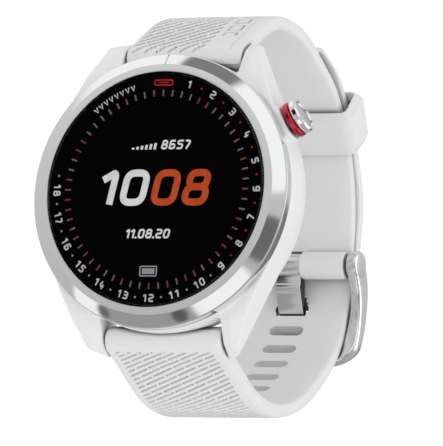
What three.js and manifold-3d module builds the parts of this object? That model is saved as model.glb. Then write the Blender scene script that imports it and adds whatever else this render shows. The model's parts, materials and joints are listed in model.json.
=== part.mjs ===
// Golf GPS watch, buckled into a closed loop. Millimetres.
// +X points to 3 o'clock, +Z to 12 o'clock, and the dial faces -Y.
// The origin is the centre of the flat case back, and the wrist lies on the +Y side.
import * as THREE from "three";
import { mergeVertices } from "three/addons/utils/BufferGeometryUtils.js";
import Module from "manifold-3d";

const wasm = await Module();
wasm.setup();

// ---- Driving dimensions ----

const THICKNESS = 12; // lens face to case back
const FRONT = -THICKNESS;
const CASE_R = 21.75;
const BEZEL_R = 21.7;
const LENS_R = 18.45;
const LENS_T = 1.2;
const CASE_TOP = -8.6; // where the bezel's side wall ends and the case begins
const FRONT_CAVITY_R = 18.9;
const REAR_CAVITY_R = 15;
const CAVITY_STEP = -4.7;
const LEDGE = -1.5; // seat of the rear cover
const COVER_R = 18.9;

const BAND_WIDTH = 20;
const LUG_INNER = 10.3;
const LUG_TIP = [13, 25]; // outer corner of a lug, [X, Z]
const BAR_Y = -3;
const BAR_Z = 22.4;
const BAR_R = 0.85;
const TIP_R = 0.45;
const TIP_END = 11.4;
const STRAP_END_R = 2.2;

const STRAP_T = 2.1;
const TAIL_T = 1.6;
const LAYER_GAP = 0.12; // half the space between the band's two layers
const SLOT_PITCH = 4.1;
const SLOT_COUNT = 6;
const SLOT_LENGTH = 5.9;
const SLOT_HEIGHT = 1.9;

const BUCKLE_BAR = [40.9, -2.7]; // centre of the buckle bar, [Y, Z]
const BUCKLE_BAR_R = 0.75;
const BUCKLE_END_R = 2.25;
const BUCKLE_INNER = 10.5;
const BUCKLE_OUTER = 12.3;
const TONGUE_WIDTH = 4.4;

const BUTTON_ANGLE = THREE.MathUtils.degToRad(60); // clockwise from 12 o'clock
const BUTTON_Y = -6.35;
const BUTTON_R = 2.9;
const STEM_R = 1.2;
const BUTTON_BORE_R = 1.35;
const BOSS_R = 3.15;
const BOSS_END = 22.6; // distance from the watch's axis
const RING_START = 23.1;
const CAP_START = 24.05;
const CAP_END = 25.4;
const SPIGOT_R = 0.85;
const SPIGOT_LENGTH = 0.5;
const SEAL_PLACE = 19.95;

const SCREW_PITCH_R = 17.6;
const SCREW_HEAD_R = 1.0;
const SCREW_SHANK_R = 0.55;
const SCREW_SEAT = -0.8; // depth of the counterbores in the rear cover
const PORT_Z = -8.5;
const PORT_WIDTH = 9;
const PORT_HEIGHT = 3.4;
const CONTACT_R = 0.55;

// ---- Materials ----

const paint = (color, roughness, metalness = 0) =>
  new THREE.MeshStandardMaterial({ color, roughness, metalness });
const WHITE_POLYMER = paint(0xe9e9e9, 0.45);
const WHITE_SILICONE = paint(0xe4e4e4, 0.7);
const POLISHED_STEEL = paint(0xc9cbcc, 0.18, 1);
const SATIN_STEEL = paint(0x9fa2a4, 0.35, 1);
const RED_ANODISED = paint(0xb8323c, 0.3, 1);
const LENS_GLASS = paint(0x101214, 0.05);
const BLACK_POLYMER = paint(0x17181a, 0.5);
const BLACK_RUBBER = paint(0x0d0d0e, 0.8);
const BOARD_GREEN = paint(0x1f5a38, 0.55);
const CELL_FOIL = paint(0x7d8184, 0.35, 0.8);
const GOLD_PLATE = paint(0xd2a64b, 0.25, 1);
const AMBER_FILM = paint(0x9a5a1e, 0.5);

// ---- Solids ----

// A closed geometry as a solid, once only its positions are left and shared vertices are merged.
// An outline may run either way round, so faces that point inwards are turned.
function solid(geometry) {
  const plain = new THREE.BufferGeometry();
  plain.setAttribute("position", geometry.getAttribute("position"));
  plain.setIndex(geometry.index);
  const merged = mergeVertices(plain, 1e-4);
  const corners = merged.index.array;
  const triVerts = [];
  for (let i = 0; i < corners.length; i += 3) {
    const [a, b, c] = corners.subarray(i, i + 3);
    if (a !== b && b !== c && c !== a) triVerts.push(a, b, c);
  }
  const vertProperties = merged.getAttribute("position").array;
  const build = (faces) =>
    new wasm.Manifold(
      new wasm.Mesh({ numProp: 3, vertProperties, triVerts: new Uint32Array(faces) }),
    );
  const made = build(triVerts);
  return made.volume() < 0 ? build(triVerts.reverse()) : made;
}

function join(first, ...rest) {
  return rest.reduce((whole, piece) => whole.add(piece), first);
}

function cut(whole, ...tools) {
  return tools.reduce((left, tool) => left.subtract(tool), whole);
}

// A named mesh from a solid.
function mesh(name, shape, material) {
  const { vertProperties, triVerts } = shape.getMesh();
  const geometry = new THREE.BufferGeometry();
  geometry.setAttribute("position", new THREE.BufferAttribute(vertProperties, 3));
  geometry.setIndex(new THREE.BufferAttribute(triVerts, 1));
  geometry.computeVertexNormals();
  const made = new THREE.Mesh(geometry, material);
  made.name = name;
  return made;
}

// A closed [radius, y] outline turned about the Y axis.
function revolve(outline, segments = 48) {
  const points = outline.map(([r, y]) => new THREE.Vector2(r, y));
  points.push(points[0].clone());
  return solid(new THREE.LatheGeometry(points, segments));
}

// A ring about the Y axis; an inner radius of 0 makes a disc.
function ring(inner, outer, y0, y1, segments = 48) {
  const [low, high] = [Math.min(y0, y1), Math.max(y0, y1)];
  return revolve([[inner, low], [outer, low], [outer, high], [inner, high]], segments);
}

function block(width, depth, height, x, y, z) {
  return solid(new THREE.BoxGeometry(width, depth, height).translate(x, y, z));
}

// A round rod along X at [y, z].
function rod(radius, x0, x1, [y, z], segments = 16) {
  const made = new THREE.CylinderGeometry(radius, radius, x1 - x0, segments);
  return solid(made.rotateZ(Math.PI / 2).translate((x0 + x1) / 2, y, z));
}

// A side-view outline of [y, z] points, extruded across X from x0 to x1 with rounded edges.
function across(outline, x0, x1, edge = 0.4) {
  const shape = new THREE.Shape(outline.map(([y, z]) => new THREE.Vector2(y, z)));
  const geometry = new THREE.ExtrudeGeometry(shape, {
    depth: x1 - x0 - 2 * edge,
    bevelEnabled: edge > 0,
    bevelThickness: edge,
    bevelSize: edge,
    bevelOffset: -edge,
    bevelSegments: 1,
  });
  const yzx = new THREE.Matrix4().set(0, 0, 1, x0 + edge, 1, 0, 0, 0, 0, 1, 0, 0, 0, 0, 0, 1);
  return solid(geometry.applyMatrix4(yzx));
}

// A coil spring about the Y axis.
function coil(radius, wire, y0, y1, turns) {
  class Helix extends THREE.Curve {
    getPoint(t, target = new THREE.Vector3()) {
      const angle = 2 * Math.PI * turns * t;
      const y = THREE.MathUtils.lerp(y0 + wire, y1 - wire, t);
      return target.set(radius * Math.cos(angle), y, radius * Math.sin(angle));
    }
  }
  const section = new THREE.Shape().absarc(0, 0, wire, 0, 2 * Math.PI);
  return solid(
    new THREE.ExtrudeGeometry(section, {
      steps: turns * 8,
      curveSegments: 3,
      bevelEnabled: false,
      extrudePath: new Helix(),
    }),
  );
}

// A solid built about the button's own axis, turned into its place in the watch.
function atButton(shape) {
  return shape.transform([...BUTTON_FRAME.elements]);
}

// Space kept free round the inner end of the button.
function buttonRoom() {
  return atButton(ring(0, 2.3, 15.9, 19.4, 20));
}

// ---- Band path ----

// Side view of the face where the band's two layers meet, [Y, Z], from the upper lug round
// the wrist to the lower lug. The upper half lies inside it and the lower half outside it.
const LOOP = new THREE.SplineCurve(
  [
    [-3.7, 24.6],
    [0.8, 27.8],
    [5.4, 30.4],
    [10.8, 31.6],
    [18, 31],
    [26.1, 28.3],
    [33.3, 24.1],
    [39.8, 16.1],
    [42.9, 8.4],
    [43.75, 1],
    [43.3, -5.2],
    [41.7, -11],
    [38.1, -17.4],
    [32.5, -22.9],
    [25.9, -27.1],
    [18, -29.3],
    [10.4, -28.7],
    [4, -26.1],
    [-1.6, -23.3],
  ].map(([y, z]) => new THREE.Vector2(y, z)),
);
const LOOP_STEPS = 400;

// The place on the loop, as a share of its length, that is closest to a point.
function placeOnLoop([y, z]) {
  const target = new THREE.Vector2(y, z);
  let best = 0;
  for (let i = 1; i <= LOOP_STEPS; i++) {
    const here = LOOP.getPointAt(i / LOOP_STEPS).distanceTo(target);
    if (here < LOOP.getPointAt(best / LOOP_STEPS).distanceTo(target)) best = i;
  }
  return best / LOOP_STEPS;
}

// Point, outward normal and direction of the loop at a share u of its length.
function station(u) {
  const point = LOOP.getPointAt(u);
  const along = LOOP.getTangentAt(u);
  return { point, along, out: new THREE.Vector2(-along.y, along.x) };
}

// The side-view outline of a layer between two distances outside the loop.
function layer(from, to, inner, outer, steps) {
  const inside = [];
  const outside = [];
  for (let i = 0; i <= steps; i++) {
    const share = i / steps;
    const { point, out } = station(THREE.MathUtils.lerp(from, to, share));
    inside.push(point.clone().addScaledVector(out, inner(share)).toArray());
    outside.push(point.clone().addScaledVector(out, outer(share)).toArray());
  }
  return [...inside, ...outside.reverse()];
}

// The outline of a strip of varying half width about a smooth line through [y, z] points.
function strip(line, halfWidth, steps = 10) {
  const curve = new THREE.SplineCurve(line.map(([y, z]) => new THREE.Vector2(y, z)));
  const left = [];
  const right = [];
  for (let i = 0; i <= steps; i++) {
    const u = i / steps;
    const point = curve.getPointAt(u);
    const along = curve.getTangentAt(u);
    const out = new THREE.Vector2(-along.y, along.x);
    left.push(point.clone().addScaledVector(out, halfWidth(u)).toArray());
    right.push(point.clone().addScaledVector(out, -halfWidth(u)).toArray());
  }
  return [...left.reverse(), ...right];
}

// ---- Case ----

// One lug: its plan runs in a straight line off the round case, and its outer side slopes
// inwards near the case back.
function lug(sideX, sideZ) {
  const tip = new THREE.Vector2(...LUG_TIP);
  const lean = tip.angle() - Math.acos(CASE_R / tip.length());
  const touch = new THREE.Vector2(Math.cos(lean), Math.sin(lean)).multiplyScalar(CASE_R);
  const plan = new THREE.Shape([
    new THREE.Vector2(LUG_INNER, touch.y),
    touch,
    tip,
    new THREE.Vector2(LUG_INNER, tip.y),
  ]);
  const upright = new THREE.ExtrudeGeometry(plan, { depth: THICKNESS, bevelEnabled: false });
  const wall = solid(upright.rotateX(Math.PI / 2));
  const profile = across(
    [
      [CASE_TOP, 5],
      [CASE_TOP, 15],
      [-7.6, 19],
      [-5.2, 23.6],
      [-3.6, 24.8],
      [-2, LUG_TIP[1]],
      [-1, 24.4],
      [-0.4, 22],
      [-0.3, 5],
    ],
    LUG_INNER - 1,
    CASE_R,
    0,
  );
  const reach = 40;
  const slope = new THREE.Shape([
    new THREE.Vector2(0, -3.6),
    new THREE.Vector2(4, -3.6),
    new THREE.Vector2(4, 1),
    new THREE.Vector2(-2.4, 1),
  ]);
  const wedge = new THREE.ExtrudeGeometry(slope, { depth: reach, bevelEnabled: false })
    .translate(0, 0, -reach / 2)
    .rotateY(-lean)
    .translate(touch.x, 0, touch.y);
  const made = cut(wall.intersect(profile), solid(wedge));
  return made.scale([sideX, 1, sideZ]);
}

// The case: a round barrel open at the front and back, with four lugs and the button's boss.
function caseBody() {
  const [spigotTop, spigotR] = [-9.5, 20.2];
  const coverRoomR = COVER_R + 0.2;
  const barrel = revolve([
    [19.2, spigotTop],
    [spigotR, spigotTop],
    [spigotR, CASE_TOP],
    [CASE_R, CASE_TOP],
    [CASE_R, -4.2],
    [21.4, -2.4],
    [20.7, -0.9],
    [19.9, 0],
    [coverRoomR, 0],
    [coverRoomR, LEDGE],
    [REAR_CAVITY_R, LEDGE],
    [REAR_CAVITY_R, CAVITY_STEP],
    [FRONT_CAVITY_R, CAVITY_STEP],
    [FRONT_CAVITY_R, spigotTop + 0.1],
  ]);
  const lugs = [
    [1, 1],
    [-1, 1],
    [1, -1],
    [-1, -1],
  ].map(([x, z]) => lug(x, z));
  const boss = cut(
    atButton(ring(0, BOSS_R, 19.5, BOSS_END, 28)),
    ring(0, BOSS_END + 2, FRONT, CASE_TOP),
  );
  const hollow = join(
    ring(0, FRONT_CAVITY_R, spigotTop + 0.1, CAVITY_STEP),
    ring(0, REAR_CAVITY_R, CAVITY_STEP - 0.1, LEDGE + 0.1),
    ring(0, coverRoomR, LEDGE, 1),
  );
  const springSeat = ring(0, 2.05, 21.2, BOSS_END + 1, 20);
  const stemBore = ring(0, BUTTON_BORE_R, 17, BOSS_END, 20);
  const bores = [springSeat, stemBore].map(atButton);
  const strapRoom = [1, -1].map((side) =>
    rod(STRAP_END_R + 0.35, -LUG_INNER, LUG_INNER, [BAR_Y, side * BAR_Z], 32),
  );
  const barHoles = [1, -1].map((side) =>
    rod(TIP_R + 0.08, -TIP_END - 0.3, TIP_END + 0.3, [BAR_Y, side * BAR_Z], 10),
  );
  const screwHoles = screwPlaces().map(([x, z]) => ring(0, 0.65, -4.3, 0, 10).translate([x, 0, z]));
  return cut(join(barrel, ...lugs, boss), hollow, ...bores, ...strapRoom, ...barHoles, ...screwHoles);
}

// Four places between the lug roots for the screws of the rear cover, [X, Z].
function screwPlaces() {
  return [45, 135, 225, 315].map((degrees) => {
    const angle = THREE.MathUtils.degToRad(degrees);
    return [SCREW_PITCH_R * Math.cos(angle), SCREW_PITCH_R * Math.sin(angle)];
  });
}

// The metal ring round the lens: a shallow inner ring, a steep cone and a straight side wall.
function bezel() {
  const [lensSide, wallInside, seatInside] = [LENS_R + 0.12, 20.4, 16.9];
  const [seatTop, seatUnder] = [-10.6, -9.7];
  const base = CASE_TOP - 0.05;
  const body = revolve([
    [lensSide, -11.95],
    [19.81, -11.6],
    [21.55, -10.35],
    [BEZEL_R, -10.1],
    [BEZEL_R, base],
    [wallInside, base],
    [wallInside, seatUnder],
    [seatInside, seatUnder],
    [seatInside, seatTop],
    [lensSide, seatTop],
  ]);
  return cut(body, twelveMark());
}

// The groove across the bezel's cone at 12 o'clock.
function twelveMark() {
  const [width, depth, length, coneSlope] = [0.35, 0.5, 2.4, 0.62];
  const groove = new THREE.BoxGeometry(width, depth, length).rotateX(-coneSlope);
  return solid(groove.translate(0, -10.98, 20.68));
}

function lens() {
  const chamfer = 0.25;
  return revolve([
    [0, FRONT],
    [LENS_R - chamfer, FRONT],
    [LENS_R, FRONT + chamfer],
    [LENS_R, FRONT + LENS_T],
    [0, FRONT + LENS_T],
  ]);
}

// The adhesive ring that seals the lens to the bezel's seat.
function lensGasket() {
  const under = FRONT + LENS_T + 0.05;
  return ring(17.1, 18.3, under, under + 0.1, 40);
}

function displayModule() {
  const under = FRONT + LENS_T + 0.05;
  return ring(0, 16.6, under, under + 1.5);
}

// The rear cover, with its seal groove, counterbored screw holes and the charge port's window.
function rearCover() {
  const edge = 0.3;
  const plate = revolve([
    [0, LEDGE + 0.05],
    [COVER_R, LEDGE + 0.05],
    [COVER_R, -edge],
    [COVER_R - edge, 0],
    [0, 0],
  ]);
  const sealGroove = ring(15.2, 16.3, LEDGE - 0.5, SCREW_SEAT);
  const screwRooms = screwPlaces().map(([x, z]) =>
    join(
      ring(0, SCREW_HEAD_R + 0.15, SCREW_SEAT, 1, 16),
      ring(0, SCREW_SHANK_R + 0.15, -2, 1, 10),
    ).translate([x, 0, z]),
  );
  const portWindow = block(PORT_WIDTH + 0.4, 4, PORT_HEIGHT + 0.4, 0, 0, PORT_Z);
  return cut(plate, sealGroove, portWindow, ...screwRooms);
}

function rearSeal() {
  const [middle, section] = [15.75, 0.28];
  const torus = new THREE.TorusGeometry(middle, section, 5, 32);
  return solid(torus.rotateX(Math.PI / 2).translate(0, -1.16, 0));
}

function rearScrew([x, z]) {
  const seat = SCREW_SEAT + 0.08;
  const head = ring(0, SCREW_HEAD_R, seat, -0.15, 16);
  const shank = ring(0, SCREW_SHANK_R, -4, seat + 0.02, 8);
  const body = join(head, shank);
  const socket = ring(0, 0.5, -0.5, 0, 6);
  return cut(body, socket).translate([x, 0, z]);
}

// ---- Inside the case ----

const BOARD_BACK = -6.5;
const CABLE_ROOM = 9; // width kept free for the display cable

// The plastic tray between the display and the board, with a slot for the display cable.
function midFrame() {
  const trayR = 18.5;
  const floor = ring(0, trayR, -9, -8.2);
  const rim = ring(17.1, trayR, -9.05, -7.4);
  const tray = join(floor, rim);
  const cableSlot = block(CABLE_ROOM, 3, 5.2, 0, -8.4, -14);
  return cut(tray, cableSlot, buttonRoom());
}

function mainBoard() {
  const sheet = ring(0, 16.8, -7.3, BOARD_BACK);
  const cableNotch = block(CABLE_ROOM, 3, 3, 0, -7, -15.8);
  return cut(sheet, cableNotch, buttonRoom());
}

// A shield can on the back of the main board.
function shieldCan(width, x) {
  const [depth, height, z] = [0.8, 8, 7];
  return block(width, depth, height, x, BOARD_BACK + depth / 2 + 0.05, z);
}

// The film cable that folds from the display round to the main board.
function displayCable() {
  const [width, halfFilm] = [7, 0.08];
  const outline = strip(
    [
      [-9, -12],
      [-8.9, -14],
      [-8.2, -15.6],
      [-6.9, -15.7],
      [-6.25, -14.4],
      [-6.3, -12.9],
    ],
    () => halfFilm,
    12,
  );
  return across(outline, -width / 2, width / 2, 0);
}

// The satellite antenna: an open ring under the bezel's seat.
function antenna() {
  const whole = ring(17.3, 18.4, -9.6, -9.15);
  const gap = block(7, 3, 8, 0, -9.4, -17.9);
  return cut(whole, gap);
}

// The pouch cell with its folded tab.
function battery() {
  const [x, y] = [2.4, -3.9];
  const pouch = block(16, 2.6, 20, x, y, 0);
  const tab = block(9, 1, 1.2, x, y, 10.4);
  return join(pouch, tab);
}

function vibrationMotor() {
  const x = -10.3;
  return ring(0, 3.5, -5.5, -2.8, 32).translate([x, 0, 0]);
}

function batteryLead() {
  const path = new THREE.CatmullRomCurve3([
    new THREE.Vector3(0, -3.9, 11.4),
    new THREE.Vector3(-3, -3.9, 12.6),
    new THREE.Vector3(-6.2, -4.6, 12.7),
    new THREE.Vector3(-9.4, -6.05, 11.6),
  ]);
  const section = new THREE.Shape().absarc(0, 0, 0.35, 0, 2 * Math.PI);
  const options = { steps: 14, curveSegments: 4, bevelEnabled: false, extrudePath: path };
  return solid(new THREE.ExtrudeGeometry(section, options));
}

// The charge port's insulator, flanged inside the cover and bored for its contacts.
function chargePort() {
  const [flangeSide, flangeT] = [0.8, 0.6];
  const body = join(
    block(PORT_WIDTH, 1.9, PORT_HEIGHT, 0, -1.35, PORT_Z),
    block(PORT_WIDTH + 2 * flangeSide + 0.2, flangeT, PORT_HEIGHT + 2 * flangeSide, 0, -1.95, PORT_Z),
  );
  const bore = ring(0, CONTACT_R + 0.07, -3, 1, 12);
  return cut(body, ...contactPlaces().map((x) => bore.translate([x, 0, PORT_Z])));
}

function contactPlaces() {
  return [-3, -1, 1, 3];
}

function chargeContact(x) {
  return ring(0, CONTACT_R, -2.3, -0.2, 12).translate([x, 0, PORT_Z]);
}

// ---- Button, built about the Y axis and turned to 2 o'clock as a group ----

// Maps +Y to the button's outward direction, at the button's height.
const BUTTON_FRAME = new THREE.Matrix4()
  .makeTranslation(0, BUTTON_Y, 0)
  .multiply(new THREE.Matrix4().makeRotationY(BUTTON_ANGLE - Math.PI / 2))
  .multiply(new THREE.Matrix4().makeRotationZ(-Math.PI / 2));

function buttonCap() {
  const [edge, dish, dishR] = [0.3, 0.25, BUTTON_R - 0.7];
  const body = revolve(
    [
      [0, CAP_START],
      [BUTTON_R - 0.35, CAP_START],
      [BUTTON_R - 0.15, CAP_START + 0.2],
      [BUTTON_R, CAP_START + 0.5],
      [BUTTON_R, CAP_END - edge],
      [BUTTON_R - edge, CAP_END],
      [dishR + 0.1, CAP_END],
      [dishR, CAP_END - dish],
      [0, CAP_END - dish],
    ],
    24,
  );
  const spigotBore = ring(0, SPIGOT_R + 0.05, CAP_START - 0.5, CAP_START + SPIGOT_LENGTH + 0.1, 20);
  return cut(body, spigotBore);
}

function buttonRing() {
  const edge = 0.15;
  const inside = STEM_R + 0.06;
  const [start, end] = [RING_START, CAP_START - 0.04];
  return revolve(
    [
      [inside, start],
      [BUTTON_R - edge, start],
      [BUTTON_R, start + edge],
      [BUTTON_R, end - edge],
      [BUTTON_R - edge, end],
      [inside, end],
    ],
    24,
  );
}

// The stem, from its inner end out: pin, clip groove, seal groove and the cap's spigot.
function buttonStem() {
  const end = 17.9;
  const [grooveStart, grooveEnd] = [end + 0.4, end + 0.85];
  const [sealStart, sealEnd] = [SEAL_PLACE - 0.35, SEAL_PLACE + 0.35];
  const shoulder = CAP_START - 0.04;
  return revolve(
    [
      [0, end],
      [0.6, end],
      [0.6, grooveStart],
      [0.75, grooveStart],
      [0.75, grooveEnd],
      [STEM_R, grooveEnd],
      [STEM_R, sealStart],
      [0.8, sealStart],
      [0.8, sealEnd],
      [STEM_R, sealEnd],
      [STEM_R, shoulder],
      [SPIGOT_R, shoulder],
      [SPIGOT_R, CAP_START + SPIGOT_LENGTH],
      [0, CAP_START + SPIGOT_LENGTH],
    ],
    16,
  );
}

function buttonSeal() {
  const section = 0.23;
  const torus = new THREE.TorusGeometry(BUTTON_BORE_R - section - 0.05, section, 6, 16);
  return solid(torus.rotateX(Math.PI / 2).translate(0, SEAL_PLACE, 0));
}

// The open clip that keeps the button in the case.
function buttonClip() {
  const clip = ring(0.8, 1.6, 18.38, 18.68, 24);
  const opening = block(1.1, 1, 2, 0, 18.5, 1.4);
  return cut(clip, opening);
}

function buttonSpring() {
  return coil(1.8, 0.16, 21.3, RING_START - 0.05, 3);
}

function sideSwitch() {
  const [width, depth, length] = [2.2, 1, 3.4];
  const top = 17.2;
  const plunger = ring(0, 0.7, top - 0.5, top + 0.2, 12);
  return join(block(width, depth, length, 0, top - depth / 2, 0), plunger);
}

// ---- Quick-release bars ----

const LEVER_X = 4.7;
const PLUNGER_START = 3.6;

// The bar's tube: bored from the sliding tip's end and slotted for its lever.
function barTube(side) {
  const at = [BAR_Y, side * BAR_Z];
  const [half, boreR, boreEnd] = [9.6, 0.62, -8.6];
  const tube = cut(rod(BAR_R, -half, half, at), rod(boreR, boreEnd, half + 1, at, 16));
  const leverSlot = block(3, 2, 1, LEVER_X - 0.3, BAR_Y + 1, side * BAR_Z);
  return cut(tube, leverSlot);
}

function barFixedTip(side) {
  return rod(TIP_R, -TIP_END, -9.65, [BAR_Y, side * BAR_Z], 14);
}

// The sliding tip, with the lever that stands out towards the wrist.
function releaseTip(side) {
  const at = [BAR_Y, side * BAR_Z];
  const lever = ring(0, 0.38, BAR_Y, BAR_Y + 2.9, 14).translate([LEVER_X, 0, side * BAR_Z]);
  const knob = ring(0, 0.75, BAR_Y + 2.1, BAR_Y + 3.1, 16).translate([LEVER_X, 0, side * BAR_Z]);
  const plunger = rod(0.5, PLUNGER_START, 9, at, 14);
  const tip = rod(TIP_R, 8.9, TIP_END, at, 14);
  return join(plunger, tip, lever, knob);
}

function barSpring(side) {
  const made = coil(0.42, 0.1, -8.4, PLUNGER_START - 0.15, 4);
  return made.rotate([0, 0, -90]).translate([0, BAR_Y, side * BAR_Z]);
}

// ---- Band ----

const UPPER_END = placeOnLoop([43.4, -1.6]);
const TAIL_TIP = placeOnLoop([25.2, 28.7]);
const KEEPER_PLACE = placeOnLoop([36.9, 20.2]);

// The thick rounded strap end about a quick-release bar, open at the lever.
function strapEnd(side) {
  return rod(STRAP_END_R, -BAND_WIDTH / 2, BAND_WIDTH / 2, [BAR_Y, side * BAR_Z], 32);
}

function strapEndBores(side) {
  const at = [BAR_Y, side * BAR_Z];
  const bore = rod(BAR_R + 0.1, -BAND_WIDTH / 2 - 1, BAND_WIDTH / 2 + 1, at);
  const leverWindow = block(4.6, 3, 2.4, LEVER_X - 0.3, BAR_Y + 2, side * BAR_Z);
  return [bore, leverWindow];
}

function upperStrap() {
  const outer = () => -LAYER_GAP;
  const inner = () => -LAYER_GAP - STRAP_T;
  const sheet = across(
    layer(0, UPPER_END, inner, outer, 28),
    -BAND_WIDTH / 2,
    BAND_WIDTH / 2,
  );
  const buckleEnd = rod(BUCKLE_END_R, -BAND_WIDTH / 2, BAND_WIDTH / 2, BUCKLE_BAR, 32);
  const buckleBore = rod(BUCKLE_BAR_R + 0.1, -BAND_WIDTH, BAND_WIDTH, BUCKLE_BAR);
  const tongueRoom = block(TONGUE_WIDTH + 0.6, 7, 6, 0, BUCKLE_BAR[0], BUCKLE_BAR[1] - 0.6);
  return cut(
    join(sheet, strapEnd(1), buckleEnd),
    ...strapEndBores(1),
    buckleBore,
    tongueRoom,
  );
}

// A slot through the lower half at a share u of the loop.
function slot(u) {
  const { point, along, out } = station(u);
  const half = SLOT_LENGTH / 2 - SLOT_HEIGHT / 2;
  const shape = new THREE.Shape();
  shape.absarc(half, 0, SLOT_HEIGHT / 2, -Math.PI / 2, Math.PI / 2);
  shape.absarc(-half, 0, SLOT_HEIGHT / 2, Math.PI / 2, (3 * Math.PI) / 2);
  const depth = 6;
  const geometry = new THREE.ExtrudeGeometry(shape, { depth, bevelEnabled: false, curveSegments: 3 });
  const basis = new THREE.Matrix4().makeBasis(
    new THREE.Vector3(1, 0, 0),
    new THREE.Vector3(0, along.x, along.y),
    new THREE.Vector3(0, out.x, out.y),
  );
  const start = point.clone().addScaledVector(out, -depth / 2);
  return solid(geometry.applyMatrix4(basis.setPosition(0, start.x, start.y)));
}

// The lower half: a tail that thins towards its tip, pierced by a row of slots.
function lowerStrap() {
  const [tipT, taperShare] = [0.7, 1 / 12];
  const outer = (share) => LAYER_GAP + THREE.MathUtils.lerp(tipT, TAIL_T, Math.min(1, share / taperShare));
  const sheet = across(
    layer(TAIL_TIP, 1, () => LAYER_GAP, outer, 40),
    -BAND_WIDTH / 2,
    BAND_WIDTH / 2,
    0.3,
  );
  const first = placeOnLoop([42.07, -9.57]);
  const step = SLOT_PITCH / LOOP.getLength();
  const slots = [];
  for (let i = 0; i < SLOT_COUNT; i++) slots.push(slot(first + i * step));
  const tongueRoom = across(tongueOutline(0.95), -SLOT_LENGTH / 2, SLOT_LENGTH / 2, 0);
  return cut(join(sheet, strapEnd(-1)), ...strapEndBores(-1), ...slots, tongueRoom);
}

// The sliding loop that holds the tail down.
function keeper() {
  const { point, out } = station(KEEPER_PLACE);
  const room = { side: 10.4, inside: LAYER_GAP + STRAP_T + 0.45, outside: LAYER_GAP + TAIL_T + 0.2 };
  const wall = 1.3;
  const loop = roundedBox(room.side + wall, -room.inside - wall, room.outside + wall, 1.4);
  loop.holes.push(roundedBox(room.side, -room.inside, room.outside, 0.5));
  const length = 6.6;
  const edge = 0.45;
  const geometry = new THREE.ExtrudeGeometry(loop, {
    depth: length - 2 * edge,
    curveSegments: 3,
    bevelThickness: edge,
    bevelSize: edge,
    bevelOffset: -edge,
    bevelSegments: 1,
  });
  const basis = new THREE.Matrix4().makeBasis(
    new THREE.Vector3(1, 0, 0),
    new THREE.Vector3(0, out.x, out.y),
    new THREE.Vector3(0, -out.y, out.x),
  );
  geometry.translate(0, 0, edge - length / 2);
  return solid(geometry.applyMatrix4(basis.setPosition(0, point.x, point.y)));
}

// A rounded rectangle, symmetrical about x = 0, between two heights.
function roundedBox(halfWidth, low, high, radius) {
  const shape = new THREE.Shape();
  const right = halfWidth - radius;
  shape.absarc(right, low + radius, radius, -Math.PI / 2, 0);
  shape.absarc(right, high - radius, radius, 0, Math.PI / 2);
  shape.absarc(-right, high - radius, radius, Math.PI / 2, Math.PI);
  shape.absarc(-right, low + radius, radius, Math.PI, (3 * Math.PI) / 2);
  return shape;
}

// ---- Buckle ----

// The tongue's side view: from the bar, through the first slot, out over the frame's crossbar.
function tongueOutline(halfWidth) {
  return strip(
    [
      [40.9, -3.9],
      [41.1, -6.6],
      [42.1, -9.4],
      [43.7, -11.8],
      [43.9, -14.6],
      [43.0, -17.5],
      [41.8, -20],
    ],
    () => halfWidth,
    14,
  );
}

function tongue() {
  const half = TONGUE_WIDTH / 2;
  const eye = rod(1.85, -half, half, BUCKLE_BAR, 20);
  const blade = across(tongueOutline(0.6), -half, half, 0.2);
  return cut(join(eye, blade), rod(BUCKLE_BAR_R + 0.08, -half - 1, half + 1, BUCKLE_BAR));
}

// The buckle's frame: two arms on the bar, joined by the crossbar the tongue rests on.
function buckleFrame() {
  const line = [BUCKLE_BAR, [42.9, -6.6], [43.4, -11.2], [42.6, -15.3], [40.3, -19.2]];
  const arm = strip(line, (u) => 1.75 - 0.55 * u);
  const arms = [
    [BUCKLE_INNER, BUCKLE_OUTER],
    [-BUCKLE_OUTER, -BUCKLE_INNER],
  ].map(([x0, x1]) => join(across(arm, x0, x1, 0.35), rod(2.45, x0, x1, BUCKLE_BAR, 24)));
  const crossbar = strip([[41.1, -17.9], [40.4, -19.1], [39.5, -20.2]], () => 0.95, 4);
  const body = join(...arms, across(crossbar, -BUCKLE_OUTER, BUCKLE_OUTER, 0.3));
  return cut(body, rod(BUCKLE_BAR_R + 0.05, -11.7, 11.7, BUCKLE_BAR));
}

function buckleBar() {
  return rod(BUCKLE_BAR_R, -11.6, 11.6, BUCKLE_BAR);
}

// ---- Assembly ----

function head() {
  const group = new THREE.Group();
  group.add(
    mesh("case_body", caseBody(), WHITE_POLYMER),
    mesh("bezel", bezel(), POLISHED_STEEL),
    mesh("lens", lens(), LENS_GLASS),
    mesh("lens_gasket", lensGasket(), BLACK_RUBBER),
    mesh("display_module", displayModule(), BLACK_POLYMER),
    mesh("display_cable", displayCable(), AMBER_FILM),
    mesh("mid_frame", midFrame(), BLACK_POLYMER),
    mesh("antenna", antenna(), SATIN_STEEL),
    mesh("main_board", mainBoard(), BOARD_GREEN),
    mesh("processor_can", shieldCan(9, -4), SATIN_STEEL),
    mesh("radio_can", shieldCan(7, 6), SATIN_STEEL),
    mesh("battery", battery(), CELL_FOIL),
    mesh("battery_lead", batteryLead(), BLACK_RUBBER),
    mesh("vibration_motor", vibrationMotor(), SATIN_STEEL),
    mesh("rear_cover", rearCover(), WHITE_POLYMER),
    mesh("rear_cover_seal", rearSeal(), BLACK_RUBBER),
    mesh("charge_port", chargePort(), BLACK_POLYMER),
  );
  screwPlaces().forEach((place, i) =>
    group.add(mesh(`rear_screw_${i + 1}`, rearScrew(place), SATIN_STEEL)),
  );
  contactPlaces().forEach((x, i) =>
    group.add(mesh(`charge_contact_${i + 1}`, chargeContact(x), GOLD_PLATE)),
  );
  return group;
}

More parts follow.
